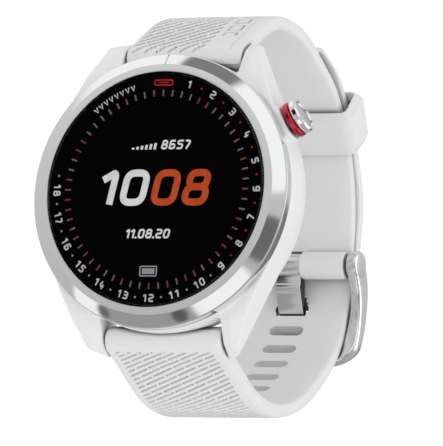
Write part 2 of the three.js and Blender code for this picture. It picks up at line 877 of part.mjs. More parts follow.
function button() {
  const group = new THREE.Group();
  group.applyMatrix4(BUTTON_FRAME);
  group.add(
    mesh("button_cap", buttonCap(), POLISHED_STEEL),
    mesh("button_ring", buttonRing(), RED_ANODISED),
    mesh("button_stem", buttonStem(), SATIN_STEEL),
    mesh("button_seal", buttonSeal(), BLACK_RUBBER),
    mesh("button_spring", buttonSpring(), SATIN_STEEL),
    mesh("button_clip", buttonClip(), SATIN_STEEL),
    mesh("side_switch", sideSwitch(), BLACK_POLYMER),
  );
  return group;
}

function bandHalf(prefix, side, strapName, strap) {
  const group = new THREE.Group();
  group.add(
    mesh(strapName, strap, WHITE_SILICONE),
    mesh(`${prefix}_bar_tube`, barTube(side), SATIN_STEEL),
    mesh(`${prefix}_bar_fixed_tip`, barFixedTip(side), SATIN_STEEL),
    mesh(`${prefix}_release_tip`, releaseTip(side), SATIN_STEEL),
    mesh(`${prefix}_bar_spring`, barSpring(side), SATIN_STEEL),
  );
  return group;
}

function buckle() {
  const group = new THREE.Group();
  group.add(
    mesh("buckle_frame", buckleFrame(), POLISHED_STEEL),
    mesh("buckle_tongue", tongue(), POLISHED_STEEL),
    mesh("buckle_bar", buckleBar(), SATIN_STEEL),
  );
  return group;
}

const watch = new THREE.Group();
watch.add(
  head(),
  button(),
  bandHalf("upper", 1, "upper_strap", upperStrap()),
  bandHalf("lower", -1, "lower_strap", lowerStrap()),
  mesh("keeper", keeper(), WHITE_SILICONE),
  buckle(),
);

export default watch;
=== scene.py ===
"""Golf GPS watch, buckled into a loop: the looks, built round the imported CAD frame.

In the frame, +X points to 3 o'clock, +Z to 12 o'clock, the dial faces -Y and the origin is the
centre of the case back. Shapes are built in millimetres, and make() turns them into metres.
"""

import json
import math

import bmesh
import bpy
import numpy as np
from mathutils import Matrix, Vector


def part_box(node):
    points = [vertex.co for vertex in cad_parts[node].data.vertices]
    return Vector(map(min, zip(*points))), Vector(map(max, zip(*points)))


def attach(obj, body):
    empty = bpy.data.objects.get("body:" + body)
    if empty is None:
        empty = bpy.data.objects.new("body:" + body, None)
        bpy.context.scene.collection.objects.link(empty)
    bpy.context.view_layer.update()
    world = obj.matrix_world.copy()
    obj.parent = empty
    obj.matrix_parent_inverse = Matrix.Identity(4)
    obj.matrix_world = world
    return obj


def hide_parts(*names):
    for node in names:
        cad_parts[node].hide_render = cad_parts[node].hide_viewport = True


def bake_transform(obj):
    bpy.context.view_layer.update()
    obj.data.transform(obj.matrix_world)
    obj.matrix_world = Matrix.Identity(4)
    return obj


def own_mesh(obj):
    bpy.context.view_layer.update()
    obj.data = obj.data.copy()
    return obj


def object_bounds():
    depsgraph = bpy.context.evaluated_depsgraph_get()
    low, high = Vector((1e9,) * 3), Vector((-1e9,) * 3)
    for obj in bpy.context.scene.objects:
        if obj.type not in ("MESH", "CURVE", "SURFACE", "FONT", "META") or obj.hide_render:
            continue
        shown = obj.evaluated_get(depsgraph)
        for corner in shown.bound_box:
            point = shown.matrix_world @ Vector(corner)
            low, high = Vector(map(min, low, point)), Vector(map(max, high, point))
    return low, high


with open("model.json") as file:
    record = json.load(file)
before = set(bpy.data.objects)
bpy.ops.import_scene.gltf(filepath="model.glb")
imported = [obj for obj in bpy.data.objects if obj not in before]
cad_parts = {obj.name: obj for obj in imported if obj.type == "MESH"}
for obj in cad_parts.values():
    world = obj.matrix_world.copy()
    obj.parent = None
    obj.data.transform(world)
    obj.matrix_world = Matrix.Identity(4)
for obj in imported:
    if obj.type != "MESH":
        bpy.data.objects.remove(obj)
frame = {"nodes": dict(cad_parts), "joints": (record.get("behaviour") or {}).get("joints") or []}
CAD_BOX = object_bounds()

MM = 0.001


def low(node):
    """A node's lowest corner, in millimetres."""
    return np.array(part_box(node)[0]) / MM


def high(node):
    """A node's highest corner, in millimetres."""
    return np.array(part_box(node)[1]) / MM


def middle(node):
    return (low(node) + high(node)) / 2


# ---- Sizes, most of them taken from the frame ----

FACE = low("lens")[1]
LENS_R = high("lens")[0]
GLASS_BACK = FACE + 0.56
ART_Y = GLASS_BACK + 0.04
INK_FACE = ART_Y - 0.02
BEZEL_R = high("bezel")[0]
BEZEL_BASE = high("bezel")[1]
WALL_BASE = BEZEL_BASE + 0.12
CASE_TOP = WALL_BASE + 0.05
COVER_GAP = 0.2
CASE_R = -low("case_body")[0]
LUG_TIP_Z = high("case_body")[2]
COVER_R = high("rear_cover")[0]
SCREWS = range(1, 5)
STRAP_HALF = high("lower_strap")[0]
LUG_GAP = 0.3
LUG_INNER = STRAP_HALF + LUG_GAP
UPPER_BAR = middle("upper_bar_tube")[1:]
LOWER_BAR = middle("lower_bar_tube")[1:]
BUCKLE_BAR = middle("buckle_bar")[1:]
BUCKLE_HALF = high("buckle_frame")[0]
BUTTON_OUT = -Vector(next(j["axis"] for j in frame["joints"] if j["name"] == "button_press"))
BUTTON_Y = middle("button_stem")[1]
BUTTON_R = (high("button_cap")[1] - low("button_cap")[1]) / 2
STRAP_T = 2.1
TAIL_T = 1.6
LAYER_GAP = 0.12
BARREL_R = 2.2

# Side view, [Y, Z], of the face where the band's two layers meet, from lug to lug.
LOOP_POINTS = [
    [-3.7, 24.6], [0.8, 27.8], [5.4, 30.5], [10.8, 31.85], [18, 31.3], [26.1, 28.3], [33.3, 24.1],
    [39.8, 16.1], [42.9, 8.4], [43.75, 1], [43.3, -5.2], [41.7, -11], [38.1, -17.4],
    [32.5, -22.9], [25.9, -27.1], [18, -29.3], [10.4, -28.7], [4, -26.1], [-1.6, -23.3],
]


# ---- Curves ----


def smooth_curve(points, per_span=60):
    """Points along a Catmull-Rom curve through the given 2-D or 3-D points."""
    p = np.array(points, float)
    p = np.vstack([p[0], p, p[-1]])
    t = np.linspace(0, 1, per_span, endpoint=False)[:, None]
    spans = []
    for a, b, c, d in zip(p, p[1:], p[2:], p[3:]):
        bend = (2 * a - 5 * b + 4 * c - d) * t**2 + (3 * b - a - 3 * c + d) * t**3
        spans.append(b + ((c - a) * t + bend) / 2)
    return np.vstack([*spans, p[-1]])


def lengths(line):
    """Distance along a line at each of its points."""
    steps = np.linalg.norm(np.diff(line, axis=0), axis=1)
    return np.concatenate([[0], np.cumsum(steps)])


def at(line, distances):
    """Points of a line at the given distances along it."""
    along = lengths(line)
    return np.stack([np.interp(distances, along, axis) for axis in line.T], axis=1)


def unit(vectors):
    return vectors / np.linalg.norm(vectors, axis=1)[:, None]


def outward(line, closed=False):
    """Unit normals of a 2-D line, to the left of its direction."""
    if closed:
        d = unit(np.roll(line, -1, axis=0) - np.roll(line, 1, axis=0))
    else:
        d = unit(np.gradient(line, axis=0))
    return np.stack([-d[:, 1], d[:, 0]], axis=1)


def arc(centre, radius, start, end, steps=12):
    """Points on an arc between two angles in degrees."""
    angles = np.radians(np.linspace(start, end, steps))
    return np.array(centre) + radius * np.stack([np.cos(angles), np.sin(angles)], axis=1)


def rounded(corners, steps=5, closed=True):
    """A polyline with each (x, y, radius) corner turned into a curve."""
    made = []
    last = len(corners) - 1
    for i, (x, y, radius) in enumerate(corners):
        here = np.array([x, y], float)
        if radius <= 0 or (not closed and i in (0, last)):
            made.append(here)
            continue
        sides = np.array([corners[i - 1][:2], corners[i - last][:2]]) - here
        a, b = unit(sides)
        half = math.acos(max(-1, min(1, float(a @ b)))) / 2
        reach = min(radius / math.tan(half), *(0.49 * np.linalg.norm(sides, axis=1)))
        start, end = here + a * reach, here + b * reach
        for t in np.linspace(0, 1, steps):
            made.append((1 - t) ** 2 * start + 2 * t * (1 - t) * here + t**2 * end)
    return np.array(made)


LOOP = smooth_curve(LOOP_POINTS)
LOOP_LENGTH = lengths(LOOP)[-1]
LOOP_OUT = outward(LOOP)


def loop_at(distance, offset=0.0):
    """Points at distances along the loop, moved outwards by an offset."""
    return at(LOOP, distance) + at_normal(distance) * np.reshape(offset, (-1, 1))


def loop_frame(distance):
    """A point of the loop, the way onwards along it and the way out of it."""
    where = np.array([distance])
    out = at_normal(where)[0]
    return loop_at(where)[0], np.array([out[1], -out[0]]), out


def at_normal(distance):
    """Unit normals of the loop, out of it, at distances along it."""
    along = lengths(LOOP)
    return unit(np.stack([np.interp(distance, along, axis) for axis in LOOP_OUT.T], axis=1))


# ---- Meshes ----


def mesh_of(vertices, faces):
    """A mesh in millimetres, with its faces turned outwards."""
    rough = bpy.data.meshes.new("rough")
    rough.from_pydata(np.asarray(vertices, float).tolist(), [], [list(f) for f in faces])
    bm = bmesh.new()
    bm.from_mesh(rough)
    bmesh.ops.remove_doubles(bm, verts=bm.verts, dist=1e-5)
    bmesh.ops.recalc_face_normals(bm, faces=bm.faces)
    return finished(bm, "shape")


def skin(rings, loop=False):
    """A mesh over closed rings of equal length; the ends are capped unless the rings loop."""
    rings = np.asarray(rings, float)
    return mesh_of(rings.reshape(-1, 3), ring_faces(*rings.shape[:2], loop))


def ring_faces(count, size, loop):
    """Faces over a number of rings of one size, as lists of vertex numbers."""
    i = np.arange(count if loop else count - 1)[:, None]
    j = np.arange(size)[None, :]
    here, above, k = i * size, (i + 1) % count * size, (j + 1) % size
    faces = np.stack([here + j, here + k, above + k, above + j], axis=2).reshape(-1, 4).tolist()
    if not loop:
        faces += [list(range(size)), list(range((count - 1) * size, count * size))]
    return faces


def lathe(outline, segments=192):
    """A closed (radius, y) outline turned about the Y axis."""
    turn = np.radians(np.arange(segments) * 360 / segments)
    outline = np.asarray(outline, float)
    radius, y = np.maximum(outline[:, 0], 0), outline[:, 1]
    x = radius[None, :] * np.cos(turn)[:, None]
    z = radius[None, :] * np.sin(turn)[:, None]
    return skin(np.stack([x, np.broadcast_to(y, x.shape), z], axis=2), loop=True)


def turned(corners, segments=192, steps=5):
    """A closed outline of (radius, y, rounding) corners turned about the Y axis."""
    return lathe(rounded(corners, steps), segments)


def disc(radius, y0, y1, edge=0.0, segments=96):
    """A cylinder about the Y axis, with rounded rims."""
    return turned([(0, y0, 0), (radius, y0, edge), (radius, y1, edge), (0, y1, 0)], segments)


def rod(radius, half, centre, edge=0.0, segments=64):
    """A cylinder along X about a [y, z] centre."""
    place = Matrix.Translation((0, *centre)) @ Matrix.Rotation(-math.pi / 2, 4, "Z")
    return moved(disc(radius, -half, half, edge, segments), place)


def finished(bm, name):
    """The mesh of an edit mesh, which is freed."""
    mesh = bpy.data.meshes.new(name)
    bm.to_mesh(mesh)
    bm.free()
    return mesh


def box(size, centre, turn=Matrix.Identity(4)):
    """A block of a size about the origin, turned and then moved to its centre."""
    bm = bmesh.new()
    bmesh.ops.create_cube(bm, size=1, matrix=Matrix.Diagonal((*size, 1)))
    return moved(finished(bm, "box"), Matrix.Translation(centre) @ turn)


def moved(mesh, matrix):
    mesh.transform(matrix)
    return mesh


def convex(planes, reach=60):
    """The solid on the inner side of every (point, outward normal) plane."""
    bm = bmesh.new()
    bmesh.ops.create_cube(bm, size=2 * reach)
    for point, normal in planes:
        geometry = bm.verts[:] + bm.edges[:] + bm.faces[:]
        bmesh.ops.bisect_plane(bm, geom=geometry, plane_co=point, plane_no=normal, clear_outer=True)
        bmesh.ops.holes_fill(bm, edges=[e for e in bm.edges if e.is_boundary])
    bmesh.ops.recalc_face_normals(bm, faces=bm.faces)
    return finished(bm, "convex")


def in_scene(name, data):
    """A new object of the scene."""
    obj = bpy.data.objects.new(name, data)
    bpy.context.scene.collection.objects.link(obj)
    return obj


def evaluated(obj):
    """The mesh an object has once its modifiers are applied; the object is removed."""
    graph = bpy.context.evaluated_depsgraph_get()
    mesh = bpy.data.meshes.new_from_object(obj.evaluated_get(graph))
    bpy.data.objects.remove(obj)
    return mesh


def combined(mesh, tools, operation):
    """A mesh after a union with, or a cut by, each of the tool meshes."""
    for tool in tools:
        obj, other = in_scene("body", mesh), in_scene("tool", tool)
        modifier = obj.modifiers.new("boolean", "BOOLEAN")
        modifier.operation = operation
        modifier.solver = "MANIFOLD"
        modifier.object = other
        mesh = evaluated(obj)
        bpy.data.objects.remove(other)
    return mesh


def cut(mesh, *tools):
    return combined(mesh, tools, "DIFFERENCE")


def joined(mesh, *tools):
    return combined(mesh, tools, "UNION")


def softened(mesh, grid, passes):
    """A mesh remeshed on a fine grid and smoothed, so that its edges and corners are filleted."""
    obj = in_scene("body", mesh)
    remesh = obj.modifiers.new("remesh", "REMESH")
    remesh.mode = "VOXEL"
    remesh.voxel_size = grid
    smooth = obj.modifiers.new("smooth", "SMOOTH")
    smooth.factor = 0.5
    smooth.iterations = passes
    return evaluated(obj)


def make(name, mesh, material, body, node, sharp=35, slot=None):
    """A finished piece from a mesh in millimetres, on a body of the frame, in place of a node."""
    mesh.name = name
    mesh.transform(Matrix.Scale(MM, 4))
    if SHADED_SLOT_WALL.name not in mesh.materials:
        mesh.materials.clear()
        mesh.materials.append(material)
    mesh.shade_smooth()
    mesh.set_sharp_from_angle(angle=math.radians(sharp))
    obj = in_scene(name, mesh)
    if body:
        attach(obj, body)
    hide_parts(node)
    # Blender numbers a material's name when the frame already has one of that name.
    slot or material.name.partition(".")[0]
    return obj


# ---- Materials ----


def add(tree, kind, **values):
    """A shader node with the given properties and input values or links."""
    node = tree.nodes.new(kind)
    for key, value in values.items():
        if hasattr(node, key):
            setattr(node, key, value)
            continue
        socket = node.inputs[int(key[1:]) if key[0] == "i" and key[1:].isdigit() else key]
        if isinstance(value, bpy.types.NodeSocket):
            tree.links.new(value, socket)
        else:
            socket.default_value = value
    return node


def math_node(tree, operation, a, b=0.0, clamp=False):
    node = add(tree, "ShaderNodeMath", operation=operation, use_clamp=clamp, i0=a, i1=b)
    return node.outputs[0]


def shaded(name, colour, roughness, metallic=0.0):
    """A new material, its tree and its principled shader."""
    made = bpy.data.materials.new(name)
    made.use_nodes = True
    shader = made.node_tree.nodes["Principled BSDF"]
    values = {"Base Color": (*colour, 1), "Roughness": roughness, "Metallic": metallic}
    for key, value in values.items():
        shader.inputs[key].default_value = value
    return made, made.node_tree, shader


def map_range(tree, value, from_min, from_max, to_min, to_max, kind="LINEAR"):
    """A value carried from one range to another, and held at the ends."""
    node = add(tree, "ShaderNodeMapRange", interpolation_type=kind, Value=value)
    limits = {"From Min": from_min, "From Max": from_max, "To Min": to_min, "To Max": to_max}
    for key, limit in limits.items():
        node.inputs[key].default_value = limit
    return node.outputs[0]


def mix(tree, factor, a, b):
    """A number between a and b."""
    return add(tree, "ShaderNodeMix", data_type="FLOAT", i0=factor, i2=a, i3=b).outputs[0]


def place_of(tree, stretch=(1, 1, 1)):
    """The shaded point in millimetres, stretched."""
    coordinates = add(tree, "ShaderNodeTexCoord").outputs["Object"]
    scale = tuple(value / MM for value in stretch)
    return add(tree, "ShaderNodeVectorMath", operation="MULTIPLY", i0=coordinates, i1=scale).outputs[0]


def turned_place(tree):
    """Radius and height of the shaded point about the dial's axis, for circular brushing."""
    point = add(tree, "ShaderNodeSeparateXYZ", i0=place_of(tree))
    flat = add(tree, "ShaderNodeCombineXYZ", i0=point.outputs[0], i1=point.outputs[2])
    radius = add(tree, "ShaderNodeVectorMath", operation="LENGTH", i0=flat.outputs[0]).outputs["Value"]
    return add(tree, "ShaderNodeCombineXYZ", i0=radius, i1=point.outputs[1]).outputs[0]


def grain(made, size, depth, blotch=0.03, spread=0.06, stretch=(1, 1, 1), turned=False):
    """Fine relief of a size and depth in mm, with broad changes of tone and roughness."""
    tree = made.node_tree
    shader = tree.nodes["Principled BSDF"]
    place = turned_place(tree) if turned else place_of(tree, stretch)
    fine = add(tree, "ShaderNodeTexNoise", Vector=place, Scale=1 / size, Detail=3.0)
    bump = add(tree, "ShaderNodeBump", Height=fine.outputs[0], Strength=1.0, Distance=depth * MM)
    tree.links.new(bump.outputs[0], shader.inputs["Normal"])
    broad = add(tree, "ShaderNodeTexNoise", Vector=place_of(tree), Scale=0.16, Detail=2.0)
    both = math_node(tree, "ADD", math_node(tree, "MULTIPLY", fine.outputs[0], 0.5), broad.outputs[0])
    shift = math_node(tree, "SUBTRACT", both, 0.75)
    rough = math_node(tree, "MULTIPLY", shift, 2 * spread)
    base = shader.inputs["Roughness"].default_value
    tree.links.new(math_node(tree, "ADD", rough, base, clamp=True), shader.inputs["Roughness"])
    tone = math_node(tree, "ADD", math_node(tree, "MULTIPLY", shift, 2 * blotch), 1.0)
    colour = tuple(shader.inputs["Base Color"].default_value)[:3]
    tinted = add(tree, "ShaderNodeVectorMath", operation="SCALE", i0=colour, Scale=tone)
    tree.links.new(tinted.outputs[0], shader.inputs["Base Color"])
    return made


def hollows(made, reach, least, shut=0.3, open_share=0.85):
    """Paints shade into a material's colour: darkens it down to a least share where something within reach
    (mm) encloses it.
    """
    tree = made.node_tree
    shader = tree.nodes["Principled BSDF"]
    tone = shader.inputs["Base Color"].links[0].from_socket
    closeness = add(tree, "ShaderNodeAmbientOcclusion", samples=12, Distance=reach * MM)
    shade = map_range(tree, closeness.outputs["AO"], shut, open_share, least, 1)
    darker = add(tree, "ShaderNodeVectorMath", operation="SCALE", i0=tone, Scale=shade)
    tree.links.new(darker.outputs[0], shader.inputs["Base Color"])
    return made


def plain(name, colour, roughness, metallic, *relief, **how):
    """A material of one colour with a grain."""
    return grain(shaded(name, colour, roughness, metallic)[0], *relief, **how)


def white_silicone():
    """Matt, with painted shade darkening it down in its grooves and gaps."""
    made, _, shader = shaded("white_silicone", (0.81, 0.81, 0.815), 0.62)
    shader.inputs["Sheen Weight"].default_value = 0.12
    grain(made, 0.12, 0.004, 0.02)
    # Painted shade: a wide darkening where parts come close, then a tight one in the grooves.
    hollows(made, 1.8, 0.6, 0.25, 0.75)
    return hollows(made, 0.8, 0.45)


def slot_wall(name, level):
    """The same silicone with painted shade: a lower level and darkening in its hollows, as it looks down in a
    slot shaded by the band.
    """
    return hollows(plain(name, (level, level, level), 0.7, 0, 0.12, 0.004, 0.02), 1.2, 0.3, 0.15, 0.6)


def circuit_board():
    """Solder mask over a grid of copper lines that shows as faint relief."""
    made, tree, shader = shaded("circuit_board", (0.02, 0.12, 0.05), 0.4)
    lines = add(tree, "ShaderNodeTexBrick", Vector=place_of(tree), Scale=0.9, **{"Mortar Size": 0.03})
    tones = {"Color1": (0.012, 0.1, 0.04), "Color2": (0.018, 0.13, 0.055), "Mortar": (0.05, 0.22, 0.09)}
    for key, tone in tones.items():
        lines.inputs[key].default_value = (*tone, 1)
    tree.links.new(lines.outputs["Color"], shader.inputs["Base Color"])
    bump = add(tree, "ShaderNodeBump", Height=lines.outputs["Fac"], Strength=0.6, Distance=0.03 * MM)
    tree.links.new(bump.outputs[0], shader.inputs["Normal"])
    return made


def display_black():
    """Black ink on the back of the glass."""
    made, _, shader = shaded("display_black", (0.002, 0.002, 0.0022), 0.5)
    shader.inputs["Specular IOR Level"].default_value = 0.0
    return grain(made, 0.3, 0.002, 0.1)


def lens_glass():
    """Clear from above, with the mirror reflection of a polished glass face."""
    made = bpy.data.materials.new("lens_glass")
    made.use_nodes = True
    tree = made.node_tree
    tree.nodes.remove(tree.nodes["Principled BSDF"])
    smear = add(tree, "ShaderNodeTexNoise", Vector=place_of(tree), Scale=0.12, Detail=2.0)
    roughness = math_node(tree, "MULTIPLY", smear.outputs[0], 0.06)
    clear = add(tree, "ShaderNodeBsdfTransparent")
    mirror = add(tree, "ShaderNodeBsdfGlossy", Roughness=roughness)
    share = add(tree, "ShaderNodeFresnel", IOR=1.45)
    both = add(tree, "ShaderNodeMixShader", i0=share.outputs[0], i1=clear.outputs[0], i2=mirror.outputs[0])
    tree.links.new(both.outputs[0], tree.nodes["Material Output"].inputs["Surface"])
    return made


def lit(name, colour, second):
    """A lit area of the display; the second colour takes over from place to place."""
    made, tree, shader = shaded(name, (0, 0, 0), 0.5)
    shader.inputs["Specular IOR Level"].default_value = 0.0
    noise = add(tree, "ShaderNodeTexNoise", Vector=place_of(tree), Scale=0.55, Detail=1.0)
    ramp = add(tree, "ShaderNodeValToRGB", Fac=noise.outputs[0])
    for stop, position, tone in zip(ramp.color_ramp.elements, (0.42, 0.58), (colour, second)):
        stop.position = position
        stop.color = (*tone, 1)
    tree.links.new(ramp.outputs[0], shader.inputs["Emission Color"])
    shader.inputs["Emission Strength"].default_value = 1.0
    return made


# Colour, roughness and metallic share; then the grain's size, depth, change of tone and of roughness.
# White polymer with painted shade: its colour is darkened where nearby surfaces enclose it.
POLYMER = hollows(plain("white_polymer", (0.86, 0.86, 0.87), 0.42, 0, 0.22, 0.004, 0.015), 1.5, 0.5, 0.2, 0.7)
SILICONE = white_silicone()
# Slot walls: silicone at a lower level, painted shade for the shade down in the slots.
SHADED_SLOT_WALL = slot_wall("slot_wall", 0.62)
# Near-black walls for the slot round the tongue and its rooms: a painted sheet of shade.
BLACK_SLOT_SHADE = slot_wall("slot_black_painted_shade", 0.1)
STEEL = plain("polished_steel", (0.86, 0.865, 0.87), 0.09, 1, 0.05, 0.0004, 0.02, 0.04, turned=True)
BRIGHT = plain("buckle_steel", (0.78, 0.785, 0.79), 0.2, 1, 0.3, 0.00003, 0.02, 0.05, stretch=(0.08, 1, 1))
# Buckle steel with painted shade: its colour is darkened where nearby surfaces enclose it.
BUCKLE_STEEL = hollows(BRIGHT, 1.0, 0.25, 0.2, 0.7)
# Near-black steel for the tongue's sideways faces: painted shade for the shadowed gap beside the tongue.
TONGUE_SIDE_SHADE = plain("tongue_side_painted_shade", (0.1, 0.1, 0.103), 0.5, 1, 0.2, 0.003, 0.1)
SATIN = plain("satin_steel", (0.62, 0.63, 0.64), 0.34, 1, 0.1, 0.002, 0.05, 0.1, stretch=(0.15, 1, 1))
RED = plain("red_anodised", (0.62, 0.05, 0.075), 0.26, 1, 0.08, 0.001, 0.05)
BLACK = plain("black_polymer", (0.018, 0.019, 0.021), 0.5, 0, 0.25, 0.01, 0.1)
RUBBER = plain("black_rubber", (0.012, 0.012, 0.013), 0.8, 0, 0.15, 0.008, 0.1)
BOARD = circuit_board()
FOIL = plain("cell_foil", (0.45, 0.46, 0.47), 0.32, 0.9, 1.2, 0.05, 0.06, 0.1)
GOLD = plain("gold_plate", (0.83, 0.6, 0.24), 0.22, 1, 0.1, 0.001, 0.05)
FILM = plain("amber_film", (0.32, 0.13, 0.03), 0.4, 0, 0.4, 0.01, 0.08, stretch=(3, 1, 1))
PANEL = display_black()
GLASS = lens_glass()


# ---- Case ----


def lug_planes():
    """Planes round the lug at 1 o'clock, as (point, outward normal)."""
    tip_x, end_fall = 13.0, 1.0
    tip = Vector((tip_x, LUG_TIP_Z - end_fall))
    lean = math.atan2(tip.y, tip.x) - math.acos(CASE_R / tip.length)
    side = Vector((math.cos(lean), 0, math.sin(lean)))
    profile = [
        (CASE_TOP, 5), (CASE_TOP, 15), (-7.6, 19), (-5.2, 23.6), (-3.6, 24.8),
        (-2, LUG_TIP_Z), (-1, 24.4), (-0.4, 22), (-0.3, 5),
    ]
    planes = [
        ((LUG_INNER, 0, 0), (-1, 0, 0)),
        (side * CASE_R, side),
        (side * CASE_R + Vector((0, -3.6, 0)), side * 4.6 + Vector((0, 2.4, 0))),
        (side * CASE_R, (0, 0, -1)),
        ((LUG_INNER, 0, LUG_TIP_Z), (end_fall, 0, tip_x - LUG_INNER)),
    ]
    facet_x, facet_slope, facet_spans = 12.1, 0.32, (1, 2, 3)
    for i, (a, b) in enumerate(zip(profile, profile[1:])):
        out = Vector((0, a[1] - b[1], b[0] - a[0])).normalized()
        planes.append(((0, *a), out))
        if i in facet_spans:
            planes.append(((facet_x, *a), out - Vector((facet_slope, 0, 0))))
    return planes


def mirrored(planes, x, z):
    """The planes of another lug, from the signs of its x and z."""
    turn = Matrix.Diagonal((x, 1, z))
    return [(turn @ Vector(point), turn @ Vector(normal)) for point, normal in planes]


# Carries what is built along the Y axis out along the button.
BUTTON_PLACE = (
    Matrix.Translation((0, BUTTON_Y, 0))
    @ Vector((0, 1, 0)).rotation_difference(BUTTON_OUT).to_matrix().to_4x4()
)


def at_button(mesh):
    """A mesh built about the Y axis, moved to the button."""
    return moved(mesh, BUTTON_PLACE)


def at_screw(mesh, index):
    """A mesh built about the Y axis, moved to a screw of the rear cover."""
    x, _, z = middle(f"rear_screw_{index}")
    return moved(mesh, Matrix.Translation((x, 0, z)))


def case_shell():
    """The barrel with its four lugs and the button's boss, hollow for the works."""
    inner_r, ledge_r, front, floor_y, cover_y = 18.9, 15, -9.5, -4.7, -1.5
    skirt_r, recess_r = 20.2, COVER_R + COVER_GAP
    barrel = turned([
        (19.2, front, 0), (skirt_r, front, 0), (skirt_r, CASE_TOP, 0), (CASE_R, CASE_TOP, 0.35),
        (CASE_R, -4.6, 2.0), (21.2, -1.8, 2.0), (19.9, 0, 0.4), (recess_r, 0, 0), (recess_r, cover_y, 0),
        (ledge_r, cover_y, 0), (ledge_r, floor_y, 0), (inner_r, floor_y, 0), (inner_r, -9.4, 0),
    ])
    planes = lug_planes()
    lugs = [convex(mirrored(planes, x, z)) for x in (1, -1) for z in (1, -1)]
    boss = at_button(disc(BUTTON_R + 0.25, 19.5, 22.6, 0.3))
    above = disc(26, FACE, CASE_TOP)
    body = joined(barrel, *lugs, cut(boss, above))
    inside = [disc(inner_r, -9.4, floor_y), disc(ledge_r, -4.8, -1.4), disc(recess_r, cover_y, 1)]
    strap_rooms = [rod(BARREL_R + 0.35, LUG_INNER, bar) for bar in (UPPER_BAR, LOWER_BAR)]
    grid, smoothing = 0.17, 5
    body = softened(cut(body, *inside, *strap_rooms), grid, smoothing)
    bores = [at_button(disc(2.05, 21.2, 24)), at_button(disc(1.35, 17, 23))]
    bar_holes = [rod(0.53, 11.7, bar) for bar in (UPPER_BAR, LOWER_BAR)]
    screw_holes = [at_screw(disc(0.65, -4.3, 0.1), i) for i in SCREWS]
    return cut(body, *bores, *bar_holes, *screw_holes)


def bezel():
    """A shallow inner ring, a steep cone and a straight side wall, with a mark at 12 o'clock."""
    bore_r, neck_r, seat_r, seat_y, foot_y = LENS_R + 0.12, 20.4, 16.9, -10.6, -9.7
    ring = turned([
        (bore_r, -11.95, 0.05), (19.81, -11.6, 0.12), (21.55, -10.35, 0.12), (BEZEL_R, -10.1, 0.1),
        (BEZEL_R, WALL_BASE, 0.08), (neck_r, WALL_BASE, 0), (neck_r, foot_y, 0), (seat_r, foot_y, 0),
        (seat_r, seat_y, 0), (bore_r, seat_y, 0),
    ], 360, 4)
    mark_size, mark_place, cone_slope = (0.32, 0.44, 2.3), (0, -10.98, 20.68), -0.62
    return cut(ring, box(mark_size, mark_place, Matrix.Rotation(cone_slope, 4, "X")))


def lens_mesh():
    """A flat disc with a bevelled rim."""
    rim = 0.22
    return turned([
        (0, FACE, 0), (LENS_R - rim, FACE, 0.05), (LENS_R, FACE + rim, 0.05), (LENS_R, GLASS_BACK, 0),
        (0, GLASS_BACK, 0),
    ], 256)


def rear_cover():
    """A plate with a ring groove, a step, the charging port's window and countersunk screw holes."""
    inside = -1.45
    plate = turned([(0, inside, 0), (COVER_R, inside, 0), (COVER_R, 0, 0.45), (0, 0, 0)])
    groove = lathe([(15.2, -2), (16.3, -2), (16.3, -0.8), (15.2, -0.8)])
    step = turned([(13.6, -0.12, 0), (13.9, -0.12, 0), (13.9, 1, 0), (13.6, 1, 0)])
    window = rounded_block(9.4, 4, 3.8, 0.6, (0, 0, middle("charge_port")[2]))
    holes = [
        at_screw(disc(radius, y0, 1), i) for i in SCREWS for radius, y0 in ((1.15, -0.8), (0.7, -2))
    ]
    return cut(plate, groove, step, window, *holes)


def rounded_block(width, depth, height, radius, centre):
    """A block with rounded corners in the XZ plane."""
    x, z = width / 2, height / 2
    outline = rounded([(x, z, radius), (-x, z, radius), (-x, -z, radius), (x, -z, radius)])
    rings = [[(px, y, pz) for px, pz in outline] for y in (-depth / 2, depth / 2)]
    return moved(skin(rings), Matrix.Translation(centre))


def rear_screw(index):
    """A button head with a hexagon socket, and its shank."""
    head = turned([(0, -0.72, 0), (1, -0.72, 0.05), (1, -0.15, 0.2), (0, -0.15, 0)], 48)
    shank = disc(0.55, -4, -0.7, 0.05, 32)
    socket = disc(0.5, -0.55, 0.5, 0, 6)
    return at_screw(cut(joined(head, shank), socket), index)


def head():
    make("case_body_shell", case_shell(), POLYMER, "case", "case_body")
    make("bezel_ring", bezel(), STEEL, "case", "bezel", sharp=14)
    make("lens_glass", lens_mesh(), GLASS, "case", "lens", sharp=20)
    backing = disc(LENS_R, ART_Y, FACE + 1.2, 0, 192)
    make("lens_backing", backing, PANEL, "case", "lens")
    make("rear_cover_plate", rear_cover(), POLYMER, "case", "rear_cover")
    for i in SCREWS:
        name = f"rear_screw_{i}"
        make(f"rear_screw_head_{i}", rear_screw(i), SATIN, "case", name)


# ---- Display ----

RING_R = 17.12
RING_STEP = 15

# Strokes of each figure on a square of side 1, as corner points; True closes the stroke.
FIGURES = {
    "0": [([(0, 0), (1, 0), (1, 1), (0, 1)], True)],
    "1": [([(0.5, 0.8), (0.95, 1), (1, 0.9), (1, 0)], False)],
    "2": [([(0, 1), (1, 1), (1, 0.5), (0, 0.5), (0, 0), (1, 0)], False)],
    "3": [([(0, 1), (1, 1), (1, 0), (0, 0)], False), ([(0.2, 0.52), (1, 0.52)], False)],
    "4": [([(0.25, 1), (0, 0.3), (1, 0.3)], False), ([(0.8, 0.6), (0.8, 0)], False)],
    "5": [([(1, 1), (0, 1), (0, 0.56), (1, 0.56), (1, 0), (0, 0)], False)],
    "6": [([(0.9, 1), (0, 1), (0, 0)], False), ([(0, 0), (1, 0), (1, 0.55), (0, 0.55)], True)],
    "7": [([(0, 1), (1, 1), (0.35, 0)], False)],
    "8": [
        ([(0, 0), (1, 0), (1, 0.52), (0, 0.52)], True),
        ([(0.06, 0.52), (0.94, 0.52), (0.94, 1), (0.06, 1)], True),
    ],
    "9": [([(0.1, 0), (1, 0), (1, 1)], False), ([(1, 1), (0, 1), (0, 0.45), (1, 0.45)], True)],
}


